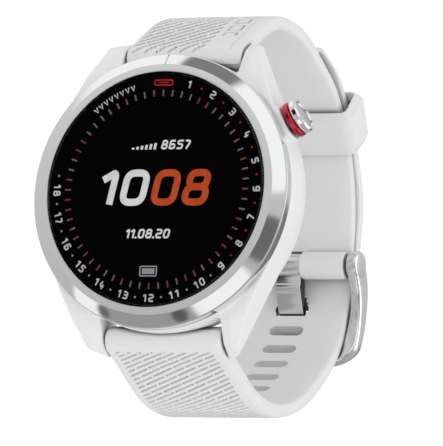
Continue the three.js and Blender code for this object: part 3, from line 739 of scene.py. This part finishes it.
class Artwork:
    """Flat strokes on the display, gathered into one closed mesh of thin ribbons."""

    def __init__(self):
        self.vertices = []
        self.faces = []

    def ribbon(self, line, width, closed=False):
        """A strip of a width along a line of (x, z) points."""
        line = np.asarray(line, float)
        base = len(self.vertices)
        for point, side in zip(line, outward(line, closed) * width / 2):
            for offset, y in ((side, INK_FACE), (-side, INK_FACE), (-side, ART_Y), (side, ART_Y)):
                x, z = point + offset
                self.vertices.append((x, y, z))
        self.faces += [[base + n for n in face] for face in ring_faces(len(line), 4, closed)]

    def stroke(self, corners, width, radius, closed, place):
        """A stroke through corner points, rounded, then moved by a placing function."""
        line = rounded([(x, z, radius) for x, z in corners], 8, closed)
        self.ribbon([place(x, z) for x, z in line], width, closed)

    def figure(self, character, width, height, stroke, radius, place):
        """A figure of an outer width and height with its lower left corner at the origin."""
        half = stroke / 2
        for points, closed in FIGURES[character]:
            corners = [(half + x * (width - stroke), half + z * (height - stroke)) for x, z in points]
            if not closed:
                corners = self.stretched(corners, 0.6 * half)
            self.stroke(corners, stroke, radius, closed, place)

    @staticmethod
    def stretched(corners, reach):
        """Corners with the open ends drawn out by a distance."""
        points = np.array(corners, float)
        first, last = points[[0, -1]] + unit(points[[0, -1]] - points[[1, -2]]) * reach
        return [first, *points[1:-1], last]

    def lit_up(self, name, colour, second):
        mesh = mesh_of(self.vertices, self.faces)
        light = lit(name + "_light", colour, second)
        make(name, mesh, light, "case", "lens", sharp=30, slot="display_black")


def leaning(x0, z0):
    """Places a figure with its lower left corner at a point, leaning to the right."""
    return lambda x, z: (x0 + x + 0.18 * z, z0 + z)


def row(art, text, x, z, pitch):
    """A row of small leaning figures; a full stop and a 1 take less room."""
    height, width, stroke = 1.5, 1.08, 0.3
    for character in text:
        if character == ".":
            level = z + stroke / 2
            art.ribbon([(x + 0.14 - stroke / 2, level), (x + 0.14 + stroke / 2, level)], stroke)
            x += 0.42
            continue
        narrow = 0.42 * width if character == "1" else 0
        art.figure(character, width, height, stroke, 0.3 * width, leaning(x - narrow, z))
        x += pitch - narrow


def around(radius, degrees, outward_top=True):
    """Places artwork on the dial at an angle clockwise from 12 o'clock, its top out or in."""
    angle = math.radians(degrees)
    out = np.array([math.sin(angle), math.cos(angle)])
    right = np.array([math.cos(angle), -math.sin(angle)])
    sign = 1 if outward_top else -1
    return lambda x, z: tuple(out * radius + sign * (right * x + out * z))


def hole_numbers(art):
    """Hole numbers every 15 degrees; from 6 on their tops face the centre."""
    width, height, stroke, gap = 0.86, 1.25, 0.24, 0.22
    pitch = width + gap
    for number in range(1, 19):
        text = str(number)
        place = around(RING_R, RING_STEP * number, number < 6)
        start = -(pitch * len(text) - gap) / 2
        for i, character in enumerate(text):
            x0 = start + i * pitch - (0.2 if character == "1" else 0)
            art.figure(
                character, width, height, stroke, 0.26,
                lambda x, z, x0=x0: place(x + x0, z - height / 2),
            )


def time_of_day(hours, minutes):
    """The large figures across the middle of the display."""
    low_z, height, width, stroke = -2.6, 5.75, 4.5, 1.12
    figures = ((-11.9, "1", hours), (-6.45, "0", hours), (-1.1, "0", minutes), (4.2, "8", minutes))
    for x, character, art in figures:
        art.figure(character, width, height, stroke, 1.35, leaning(x, low_z))


def step_count(art):
    """A count, with rising bars in front of it."""
    base = 6.3
    row(art, "8657", 0.25, base, 1.32)
    for i in range(6):
        place = leaning(-4.5 + 0.74 * i, base)
        art.ribbon([place(0, 0), place(0, 0.3 + 0.14 * i)], 0.42)


def framed_bar(art, box, stroke, radius, inset, bar):
    """A rounded frame between x0, x1, z0 and z1, with a bar in it."""
    x0, x1, z0, z1 = box
    art.stroke([(x0, z0), (x1, z0), (x1, z1), (x0, z1)], stroke, radius, True, lambda x, z: (x, z))
    middle_z = (z0 + z1) / 2
    art.ribbon([(x0 + inset, middle_z), (x1 - inset, middle_z)], bar)


def minute_ticks(art):
    for i in range(60):
        place = around(0, 6 * i)
        art.ribbon([place(0, 14.75), place(0, 15.75)], 0.27)


def ring_dots(first, rest):
    """A dot between each two hole numbers; the first eight are in their own colour."""
    for i in range(18):
        place = around(RING_R, RING_STEP * (i + 1.5))
        art = first if i < 8 else rest
        art.ribbon([place(-0.14, 0), place(0.14, 0)], 0.28)


def chevrons(art):
    """A row of chevrons from 10 to 12 o'clock."""
    for i in range(8):
        place = around(16.85, -42 + 3.4 * i)
        art.ribbon([place(-0.3, 0.42), place(0.0, -0.42), place(0.3, 0.42)], 0.2)


def display():
    """All that is lit: time, count, date and battery inside, and the ring of hole numbers."""
    white, orange, ticks, marks, red, grey = (Artwork() for _ in range(6))
    time_of_day(white, orange)
    step_count(white)
    row(white, "11.08.20", -4.75, -7.75, 1.3)
    battery = (-1.72, 1.1, -13.65, -12.15)
    framed_bar(grey, battery, stroke=0.2, radius=0.2, inset=0.35, bar=0.9)
    minute_ticks(ticks)
    hole_numbers(marks)
    ring_dots(red, grey)
    pill = (-1.6, 1.5, 16.5, 17.3)
    framed_bar(red, pill, stroke=0.24, radius=0.35, inset=0.7, bar=0.24)
    chevrons(marks)
    white.lit_up("screen_white", (0.66, 0.66, 0.67), (0.6, 0.6, 0.61))
    orange.lit_up("screen_orange", (0.47, 0.068, 0.02), (0.42, 0.058, 0.016))
    ticks.lit_up("screen_ticks", (0.13, 0.11, 0.11), (0.14, 0.03, 0.03))
    marks.lit_up("ring_numbers", (0.48, 0.48, 0.5), (0.4, 0.4, 0.42))
    red.lit_up("ring_red_marks", (0.36, 0.016, 0.024), (0.3, 0.014, 0.02))
    grey.lit_up("ring_grey_dots", (0.26, 0.26, 0.27), (0.26, 0.26, 0.27))


# ---- Band ----

LOWER_DEPTH, UPPER_DEPTH = 0.36, 1.1
SLOT_PITCH = 4.1
BAND_END = LOOP_LENGTH - 2.5


def fade(distance, over):
    """0 up to nought, then rising to 1 over a distance."""
    return np.clip(distance / over, 0, 1)


def from_middle(phase):
    """How far a phase is from the nearest whole number."""
    return np.abs((phase + 0.5) % 1 - 0.5)


def grooves(x, s, slope, pitch, share, dash, start, margin):
    """Smooth sloping grooves that take a share of their pitch, broken into dashes across x."""
    phase = (s - slope * x) / pitch
    profile = fade(1 - from_middle(phase) / (share / 2), 1) ** 0.8
    line = np.floor(phase + 0.5)
    place = (x - start - dash / 2 * (line % 2)) / dash
    return profile * fade(from_middle(place) * dash - margin, 0.14)


def lower_texture(x, s):
    """Broken diagonal grooves of the lower half."""
    broken = grooves(x, s, slope=0.566, pitch=1.1, share=0.5, dash=4.3, start=1.7, margin=0.1)
    panel = fade(8.45 - np.abs(x + 0.15), 0.2)
    ends = fade(133.4 - s, 0.6) * fade(s - 101, 0.5)
    return LOWER_DEPTH * broken * panel * ends


def upper_texture(x, s):
    """Diagonal grooves of the upper half, then a line and a row of frames along its right side."""
    broken = grooves(x, s, slope=0.87, pitch=1.79, share=0.4, dash=6.4, start=-1.2, margin=0.12)
    panel = fade(x + 9.2, 0.25) * fade(3.4 - x, 0.2)
    ends = fade(s + 2.4, 0.5) * fade(27 - s, 0.5)
    line_x, line_half, frame_x, frame_half, frame_pitch, frame_line = 7.9, 0.16, 5.7, 1.1, 3.1, 0.16
    stripe = 0.16 * fade(1 - np.abs(x - line_x) / line_half, 1)
    along = from_middle(s / frame_pitch) * frame_pitch
    reach = np.maximum(np.abs(x - frame_x), along) / frame_half
    window = 0.4 * fade(1 - np.abs(reach - 1) / frame_line, 1) * (s > 3)
    return (UPPER_DEPTH * broken * panel + stripe + window) * ends


def strap_loft(line, normal, s, thickness, texture, crown_along):
    """A closed strap along a side-view line of its outer face, textured on that face."""
    half, edge = STRAP_HALF, 1.8
    columns = np.linspace(-half, half, 161)
    over = fade(np.abs(columns) - (half - edge), edge)
    crown = 0.45 * (1 - np.sqrt(np.maximum(1 - over**2.6, 0)))
    rings = []
    for point, out, station, thick in zip(line, normal, s, thickness):
        inner_edge = min(0.6, 0.4 * thick)
        lapped = np.interp(station, *crown_along)
        depth = crown * lapped - 0.2 * (lapped < 1.5) + texture(columns, np.full_like(columns, station))
        corner = [
            (half, thick - inner_edge), (half - 0.06, thick - 0.5 * inner_edge),
            (half - 0.25 * inner_edge, thick - 0.2 * inner_edge), (half - inner_edge, thick),
        ]
        plain = [(x, thick) for x in np.linspace(half - inner_edge, inner_edge - half, 13)[1:-1]]
        section = [*zip(columns, depth), *corner, *plain, *((-x, d) for x, d in corner[::-1])]
        rings.append([(x, *(point - out * d)) for x, d in section])
    return skin(rings)


def stations_along(line, fine_from, fine_to):
    """Distances along a line, close together over the stretch that has grooves."""
    total = lengths(line)[-1]
    step, fine_step = 0.55, 0.14
    parts = [
        np.arange(0, fine_from, step), np.arange(fine_from, fine_to, fine_step),
        np.arange(fine_to, total, step), [total],
    ]
    return np.unique(np.concatenate(parts))


def pierced(body, open_cutters, filled_cutters):
    """A silicone body cut by slots, walled in silicone with painted shade, and by the one round the tongue,
    walled in near-black painted shade.
    """
    for index, meshes in enumerate(([body], open_cutters, filled_cutters)):
        for mesh in meshes:
            mesh.materials.clear()
            for material in (SILICONE, SHADED_SLOT_WALL, BLACK_SLOT_SHADE):
                mesh.materials.append(material)
            mesh.polygons.foreach_set("material_index", [index] * len(mesh.polygons))
    return cut(body, *open_cutters, *filled_cutters)


def strap_end_cuts(bar):
    """The bar's bore and the window of its release lever."""
    lever_x = 4.4
    return [rod(0.95, STRAP_HALF + 1, bar), rounded_block(4.6, 3, 2.4, 0.5, (lever_x, bar[0] + 2, bar[1]))]


def upper_strap():
    """The buckle half, from its lug round to the bar of the buckle."""
    start_s, end_s, end_half = 2.2, 69.1, STRAP_HALF - 0.02
    outer = loop_at(np.linspace(start_s, end_s, 60), -LAYER_GAP)
    lug_arc = arc(UPPER_BAR, BARREL_R, 215, 128, 7)
    line = smooth_curve(np.vstack([lug_arc, outer]), 30)
    before = lengths(line)[len(lug_arc) * 30]
    along = stations_along(line, 0.1, before + 26)
    points = at(line, along)
    s = along - before + start_s
    thickness = np.interp(s, [-8, -2, 1, end_s], [1.6, 2.0, STRAP_T, STRAP_T])
    body = strap_loft(points, outward(points), s, thickness, upper_texture, ([24, 34], [1, 1.8]))
    body = joined(body, rod(BARREL_R - 0.03, end_half, UPPER_BAR, 0.5), rod(2.25, end_half, BUCKLE_BAR, 0.4))
    tongue_room = rounded_block(4.6, 7, 6, 0.4, (0, BUCKLE_BAR[0], BUCKLE_BAR[1] - 0.6))
    return cut(body, *strap_end_cuts(UPPER_BAR), rod(0.85, STRAP_HALF + 5, BUCKLE_BAR), tongue_room)


def slot_cutter(s):
    """A rounded slot through the lower half, leaning along it and flared at its outer face."""
    point, along, out = loop_frame(s)
    rings = []
    half_length, half_height = 2.95, 0.95
    lean = np.interp(s - first_slot(), [SLOT_PITCH, 3 * SLOT_PITCH], [0.47, 0.12])
    for height, grow in ((-2, 0), (1.25, 0), (1.5, 0.06), (1.72, 0.25), (4, 1.6)):
        half, radius = half_length - half_height, half_height + grow
        outline = [*arc((half, 0), radius, -90, 90, 14), *arc((-half, 0), radius, 90, 270, 14)]
        rings.append([(x, *(point + along * (a + lean * height) + out * height)) for x, a in outline])
    return skin(rings)


def first_slot():
    """How far along the loop the tongue goes through it."""
    s = np.linspace(40, 110, 1401)
    return s[np.argmin(np.linalg.norm(loop_at(s) - (42.07, -9.57), axis=1))]


def tongue_rooms():
    """The way of the tongue through the band, from rest to its highest lift."""
    centre = Matrix.Translation((0, *BUCKLE_BAR))
    rooms = []
    for lift, half in ((0, 2.6), (2.7, 2.25), (5.4, 2.25)):
        turn = Matrix.Rotation(math.radians(lift), 4, "X")
        rooms.append(moved(across(strip(TONGUE_LINE, 0.95), half), centre @ turn @ centre.inverted()))
    return rooms


def lower_strap():
    """The holed half, from its thin tail round to the lower lug."""
    tip_s, taper_length, tip_t, count = 31.1, 8.3, 0.7, 6
    stations = np.linspace(tip_s, BAND_END, 70)
    lift = 0.75 * np.sin(np.pi * fade(stations - 50, 19)) ** 2 + 0.35 * fade(41 - stations, 8)
    layer = tip_t + (TAIL_T - tip_t) * fade(stations - tip_s, taper_length)
    outer = loop_at(stations, LAYER_GAP + layer + lift)
    line = smooth_curve(np.vstack([outer, arc(LOWER_BAR, BARREL_R + 0.05, 245, 145, 7)]), 30)
    joint = lengths(line)[(len(stations) - 1) * 30]
    along = stations_along(line, joint - 29, lengths(line)[-1] - 0.1)
    points = at(line, along)
    s = along - joint + BAND_END
    near_end = LOOP_LENGTH - 3
    thickness = np.interp(
        s, [tip_s, tip_s + taper_length, 80, 90, near_end, near_end + 6],
        [tip_t, TAIL_T, TAIL_T, STRAP_T, STRAP_T, 1.9],
    )
    body = strap_loft(points, outward(points), s, thickness, lower_texture, ([0, 1], [1, 1]))
    body = joined(body, rod(BARREL_R, STRAP_HALF - 0.02, LOWER_BAR, 0.5))
    slots = [slot_cutter(first_slot() + i * SLOT_PITCH) for i in range(count)]
    body = cut(body, *strap_end_cuts(LOWER_BAR))
    return pierced(body, slots[1:], [slots[0], *tongue_rooms()])


def strip(line, half_width, steps=40):
    """Outline of a strip about a smooth side-view line; the half width may vary along it."""
    curve = smooth_curve(line, 30)
    curve = at(curve, np.linspace(0, lengths(curve)[-1], steps))
    share = np.linspace(0, 1, steps)
    width = np.array([half_width(u) if callable(half_width) else half_width for u in share])
    side = outward(curve) * width[:, None]
    return np.vstack([curve + side, (curve - side)[::-1]])


def bevelled(obj, width, segments, angle=30):
    """Rounds an object's edges that are sharper than an angle in degrees."""
    bevel = obj.modifiers.new("bevel", "BEVEL")
    bevel.width = width
    bevel.segments = segments
    bevel.limit_method = "ANGLE"
    bevel.angle_limit = math.radians(angle)
    return obj


def across(outline, half, edge=0.0):
    """A side-view outline of [y, z] points extruded across X, with its edges rounded."""
    mesh = skin([[(x, y, z) for y, z in outline] for x in (-half, half)])
    return evaluated(bevelled(in_scene("body", mesh), edge, 4, 50)) if edge else mesh


def keeper():
    """The sliding loop: a wall of one section, [along, height], swept round the band."""
    point, along, out = loop_frame(46.3)
    side, inside, outside = 10.9, LAYER_GAP + STRAP_T + 0.5, LAYER_GAP + TAIL_T + 0.35
    wall = rounded(
        [
            (-3.0, 0, 0.3), (-4.3, 0.3, 0.1), (-4.4, 0.55, 0.2), (-3.2, 1.7, 0.9),
            (3.0, 1.3, 0.6), (4.2, 0.5, 0.2), (4.1, 0.3, 0.1), (2.8, 0, 0.3),
        ], 6,
    )
    corners = ((side, outside), (side, -inside), (-side, -inside), (-side, outside))
    inner = rounded([(*corner, 0.7) for corner in corners], 9)
    dense = []
    for a, b in zip(inner, np.roll(inner, -1, axis=0)):
        count = max(1, int(np.linalg.norm(b - a) / 0.8))
        dense += [a + (b - a) * i / count for i in range(count)]
    dense = np.array(dense)
    rings = []
    for (x, w), (nx, nw) in zip(dense, outward(dense, closed=True)):
        slant = 0.2 * (outside - w)
        ring = [(a + slant if a < 0 else a, h) for a, h in wall]
        rings.append([(x + nx * h, *(point + along * a + out * (w + nw * h))) for a, h in ring])
    return skin(rings, loop=True)


def band():
    make("upper_band", upper_strap(), SILICONE, "band", "upper_strap", sharp=50)
    lower = make("lower_band", lower_strap(), SILICONE, None, "lower_strap", sharp=50)
    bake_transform(lower)
    make("keeper_loop", keeper(), SILICONE, "keeper", "keeper", sharp=60)


# ---- Buckle ----

# Side views, (Y, Z), of the middle of each from its eye on.
TONGUE_LINE = [
    (40.9, -3.9), (41.1, -6.6), (42.1, -9.4), (43.7, -11.8), (44.1, -14.6), (43.2, -17.2), (42.2, -19.2),
]
FRAME_LINE = [tuple(BUCKLE_BAR), (42.9, -6.6), (43.3, -11.2), (42.6, -15.0), (40.9, -18.3)]


def buckle_frame():
    """A U bent from one bar: two arms that turn on the buckle bar, and a crossbar."""
    side = smooth_curve(FRAME_LINE, 30)
    reach = lengths(side)[-1]
    half_width, corner, eye_r = 0.9, 3.4, 2.3
    arm_x = BUCKLE_HALF - half_width
    bend = arc((arm_x - corner, reach - corner), corner, 0, 90)
    straight = [(arm_x, d) for d in np.linspace(0, reach - corner, 30)[:-1]]
    crossing = [(x, reach) for x in np.linspace(arm_x - corner, 0, 8)[1:]]
    right = np.array([*straight, *bend, *crossing])
    plan = np.vstack([right, right[-2::-1] * (-1, 1)])
    along = plan[:, 1]
    points = np.column_stack([plan[:, 0], at(side, along)])
    side_out = [np.interp(along, lengths(side), axis) for axis in outward(side).T]
    out = np.column_stack([np.zeros(len(along)), *side_out])
    tangent = unit(np.gradient(points, axis=0))
    across_bar = unit(np.cross(tangent, out))
    depth = np.interp(along, [0, 3, 8, reach - 3, reach], [2.2, 2.0, 1.55, 1.2, 0.8])
    share = fade(along - 7, 8.5)
    widening = share**2 * (3 - 2 * share)
    rings = []
    for point, b, n, h, more in zip(points, across_bar, out, depth, widening):
        outer, inner = half_width, -half_width - more
        corners = ((outer, h), (inner, h), (inner, -h), (outer, -h))
        section = rounded([(*xy, min(0.6, 0.7 * h)) for xy in corners], 6)
        rings.append([point + b * x + n * y for x, y in section])
    eyes = [
        moved(rod(eye_r, half_width + 0.02, BUCKLE_BAR, 0.5), Matrix.Translation((x, 0, 0)))
        for x in (arm_x, -arm_x)
    ]
    return cut(joined(skin(rings), *eyes), rod(0.8, BUCKLE_HALF - 0.6, BUCKLE_BAR))


def buckle_tongue():
    """The tongue: an eye on the bar and a blade with raised steps across its root."""
    half = high("buckle_tongue")[0]
    eye = rod(1.9, half, BUCKLE_BAR, 0.15)
    blade = strip(TONGUE_LINE, lambda u: 0.86 if u < 0.2 else max(0.58, 1.46 - 3 * u))
    curve = smooth_curve(TONGUE_LINE, 30)
    rib = rod(1.0, half - 0.03, at(curve, np.array([2.3]))[0], 0.1, 48)
    shoulder_line = curve[(curve[:, 1] < -12.3) & (curve[:, 1] > -16)]
    shoulder = across(strip(shoulder_line[::12], 0.3), half + 0.5, 0.1)
    body = joined(eye, across(blade, half, 0.12), rib, shoulder)
    return cut(body, rod(0.83, half + 1, BUCKLE_BAR))


def buckle():
    steel = "polished_steel"
    make("buckle_frame_polished", buckle_frame(), BUCKLE_STEEL, "frame", "buckle_frame", slot=steel)
    blade = buckle_tongue()
    tongue = make("buckle_tongue_ribbed", blade, BUCKLE_STEEL, "tongue", "buckle_tongue", slot=steel)
    # The tongue's sideways faces get the near-black steel, painted shade for the gap beside them.
    tongue.data.materials.append(TONGUE_SIDE_SHADE)
    for face in tongue.data.polygons:
        faces_sideways = abs(face.normal.x) > 0.8
        face.material_index = int(faces_sideways)


# ---- Button ----


def button():
    """A red ring, and a steel cap with straight grooves in its face."""
    bore, ring_start, ring_end, cap_start, cap_end = 1.26, 23.1, 24.01, 24.05, 25.4
    ring = turned([
        (bore, ring_start, 0), (BUTTON_R - 0.1, ring_start, 0.1), (BUTTON_R, ring_start + 0.15, 0.1),
        (BUTTON_R, ring_end - 0.16, 0.1), (BUTTON_R - 0.15, ring_end, 0.05), (bore, ring_end, 0),
    ], 96)
    make("button_red_ring", at_button(ring), RED, "button", "button_ring")
    rim, face = BUTTON_R - 0.6, cap_end - 0.25
    cap = turned([
        (0, cap_start, 0), (BUTTON_R - 0.35, cap_start, 0.1), (BUTTON_R - 0.15, cap_start + 0.2, 0.1),
        (BUTTON_R, cap_start + 0.45, 0.1), (BUTTON_R, face, 0.12), (BUTTON_R - 0.25, cap_end, 0.12),
        (rim, cap_end, 0.08), (rim - 0.1, face, 0.05), (0, face, 0),
    ], 96)
    spigot_hole = disc(0.9, cap_start - 0.5, cap_start + 0.6, 0, 32)
    pitch, turn = 0.6, Matrix.Rotation(math.radians(35), 4, "Y")
    grooves = []
    for i in range(-3, 4):
        reach = math.sqrt(max(0.1, (rim - 0.12) ** 2 - (i * pitch) ** 2))
        grooves.append(moved(box((0.24, 0.3, 2 * reach), (i * pitch, face - 0.02, 0)), turn))
    cap = at_button(cut(cap, spigot_hole, *grooves))
    make("button_cap_grooved", cap, STEEL, "button", "button_cap", sharp=25)


# ---- Springs ----


def coil(name, body, radius, wire, start, end, turns, place):
    """A spring from start to end along a placed Y axis."""
    angle = np.linspace(0, 2 * math.pi * turns, 24 * turns + 1)
    height = np.linspace(start + wire, end - wire, len(angle))
    section = arc((radius, 0), wire, 0, 324, 10)
    rings = [[(r * math.cos(a), h + y, r * math.sin(a)) for r, y in section] for a, h in zip(angle, height)]
    spring = moved(skin(rings), place)
    obj = make(name, spring, SATIN, body, name.removesuffix("_coil"))
    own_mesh(obj)


def springs():
    """The button's return spring and the two in the quick-release bars."""
    coil(
        "button_spring_coil", "case", radius=1.8, wire=0.16,
        start=21.3, end=23.05, turns=3, place=BUTTON_PLACE,
    )
    along_x = Matrix.Rotation(math.radians(-90), 4, "Z")
    for side, bar, body in (("upper", UPPER_BAR, "band"), ("lower", LOWER_BAR, "case")):
        coil(
            f"{side}_bar_spring_coil", body, radius=0.42, wire=0.1,
            start=-8.4, end=3.45, turns=14, place=Matrix.Translation((0, *bar)) @ along_x,
        )


# ---- Frame nodes that stay as they are ----

KEPT = {
    "lens_gasket": RUBBER, "display_module": BLACK, "display_cable": FILM, "mid_frame": BLACK,
    "antenna": SATIN, "main_board": BOARD, "processor_can": SATIN, "radio_can": SATIN,
    "battery": FOIL, "battery_lead": RUBBER, "vibration_motor": SATIN, "rear_cover_seal": RUBBER,
    "charge_port": BLACK, "button_stem": SATIN, "button_seal": RUBBER,
    "button_clip": SATIN, "side_switch": BLACK, "buckle_bar": SATIN,
    **{f"charge_contact_{i}": GOLD for i in range(1, 5)},
    **{
        f"{side}_{part}": SATIN
        for side in ("upper", "lower")
        for part in ("bar_tube", "bar_fixed_tip", "release_tip")
    },
}
ROUNDED_EDGES = {
    "battery": 0.35, "processor_can": 0.12, "radio_can": 0.12, "vibration_motor": 0.1,
    "charge_port": 0.06, "buckle_bar": 0.1,
}


def kept_nodes():
    for name, material in KEPT.items():
        obj = frame["nodes"][name]
        obj.data.materials.clear()
        obj.data.materials.append(material)
        if name in ROUNDED_EDGES:
            bevelled(obj, ROUNDED_EDGES[name] * MM, 3)


# ---- Studio ----


def direction(azimuth, elevation):
    """Unit vector; azimuth 0 looks out of the dial and 90 out of its right side."""
    a, e = math.radians(azimuth), math.radians(elevation)
    return (math.sin(a) * math.cos(e), -math.cos(a) * math.cos(e), math.sin(e))


# Panels seen only in reflections: azimuth, elevation, radius, soft edge (degrees), level.
PANELS = [
    (-40, -52, 24, 3, 0.34),
    (-88, 60, 26, 6, 1.0),
    (42, 38, 30, 2, 1.02),
    (-20, 74, 14, 2, 0.22),
    (21, -46, 17, 2, 1.0),
    (43, -16, 12, 2, 0.15),
    (-77, -31, 8, 1, 1.0),
    (-16, -56, 4, 1, 0.1),
    (-71, -38, 3, 1, 0.12),
    (-25, 10, 17, 5, 0.01),
    (122, 8, 20, 4, 2.2),
    (158, -10, 15, 4, 0.2),
]


def studio_world():
    """White for the camera, a soft gradient for matt surfaces, and panels for reflections."""
    world = bpy.data.worlds.new("studio")
    bpy.context.scene.world = world
    world.use_nodes = True
    world.cycles.sampling_method = "NONE"
    tree = world.node_tree
    ray = add(tree, "ShaderNodeTexCoord").outputs["Generated"]

    def towards(aim):
        """How closely the ray points along an aim, as a cosine."""
        return add(tree, "ShaderNodeVectorMath", operation="DOT_PRODUCT", i0=ray, i1=aim).outputs["Value"]

    mirror = map_range(tree, towards((0, 0, 1)), -1, 1, 0.4, 0.75)
    for azimuth, elevation, radius, soft, level in PANELS:
        dark, bright = (math.cos(math.radians(max(radius + edge, 0))) for edge in (soft, -soft))
        closeness = towards(direction(azimuth, elevation))
        mask = map_range(tree, closeness, dark, bright, 0, 1, "SMOOTHSTEP")
        mirror = mix(tree, mask, mirror, level)
    matt = map_range(tree, towards(direction(50, -20)), -1, 1, 0.62, 1.1)
    path = add(tree, "ShaderNodeLightPath").outputs
    unseen = mix(tree, path["Is Glossy Ray"], matt, mirror)
    final = mix(tree, path["Is Camera Ray"], unseen, 1.05)
    tree.links.new(final, tree.nodes["Background"].inputs["Color"])


def floor():
    """A pale floor just under the watch, in metres, that the camera sees through from below."""
    reach, height = 4.0, CAD_BOX[0][2] - 0.0016
    corners = [(x * reach, y * reach, height) for x, y in ((-1, -1), (1, -1), (1, 1), (-1, 1))]
    mesh = bpy.data.meshes.new("floor")
    mesh.from_pydata(corners, [], [(0, 1, 2, 3)])
    made, tree, shader = shaded("pale_floor", (0.9, 0.9, 0.9), 0.8)
    speck = add(tree, "ShaderNodeTexNoise", Vector=place_of(tree), Scale=0.02, Detail=2.0)
    rough = math_node(tree, "ADD", math_node(tree, "MULTIPLY", speck.outputs[0], 0.1), 0.7)
    tree.links.new(rough, shader.inputs["Roughness"])
    see = add(tree, "ShaderNodeNewGeometry").outputs["Backfacing"]
    camera = add(tree, "ShaderNodeLightPath").outputs["Is Camera Ray"]
    clear = add(tree, "ShaderNodeBsdfTransparent")
    both = add(
        tree, "ShaderNodeMixShader",
        i0=math_node(tree, "MULTIPLY", see, camera), i1=shader.outputs[0], i2=clear.outputs[0],
    )
    tree.links.new(both.outputs[0], tree.nodes["Material Output"].inputs["Surface"])
    mesh.materials.append(made)
    obj = in_scene("floor", mesh)
    obj.visible_glossy = False
    obj.visible_diffuse = False


def camera():
    """A long lens, low and to the right of the dial."""
    right = Vector((0.9068, 0.4154, 0.0727))
    up = Vector((0.0042, -0.1814, 0.9834))
    back = Vector((0.4217, -0.8914, -0.1662))
    distance, shift_right, shift_up = 1000, 10.36, -5.36
    data = bpy.data.cameras.new("camera")
    data.sensor_width = 36
    data.lens = 520.6
    data.clip_start, data.clip_end = 0.05, 20
    turn = Matrix((right, up, back)).transposed().to_4x4()
    place = Vector((0, FACE, 0)) + right * shift_right + up * shift_up + back * distance
    obj = in_scene("camera", data)
    obj.matrix_world = Matrix.Translation(place * MM) @ turn
    bpy.context.scene.camera = obj
    bpy.context.scene.view_settings.view_transform = "Standard"


head()
display()
button()
springs()
band()
buckle()
kept_nodes()
studio_world()
floor()
camera()
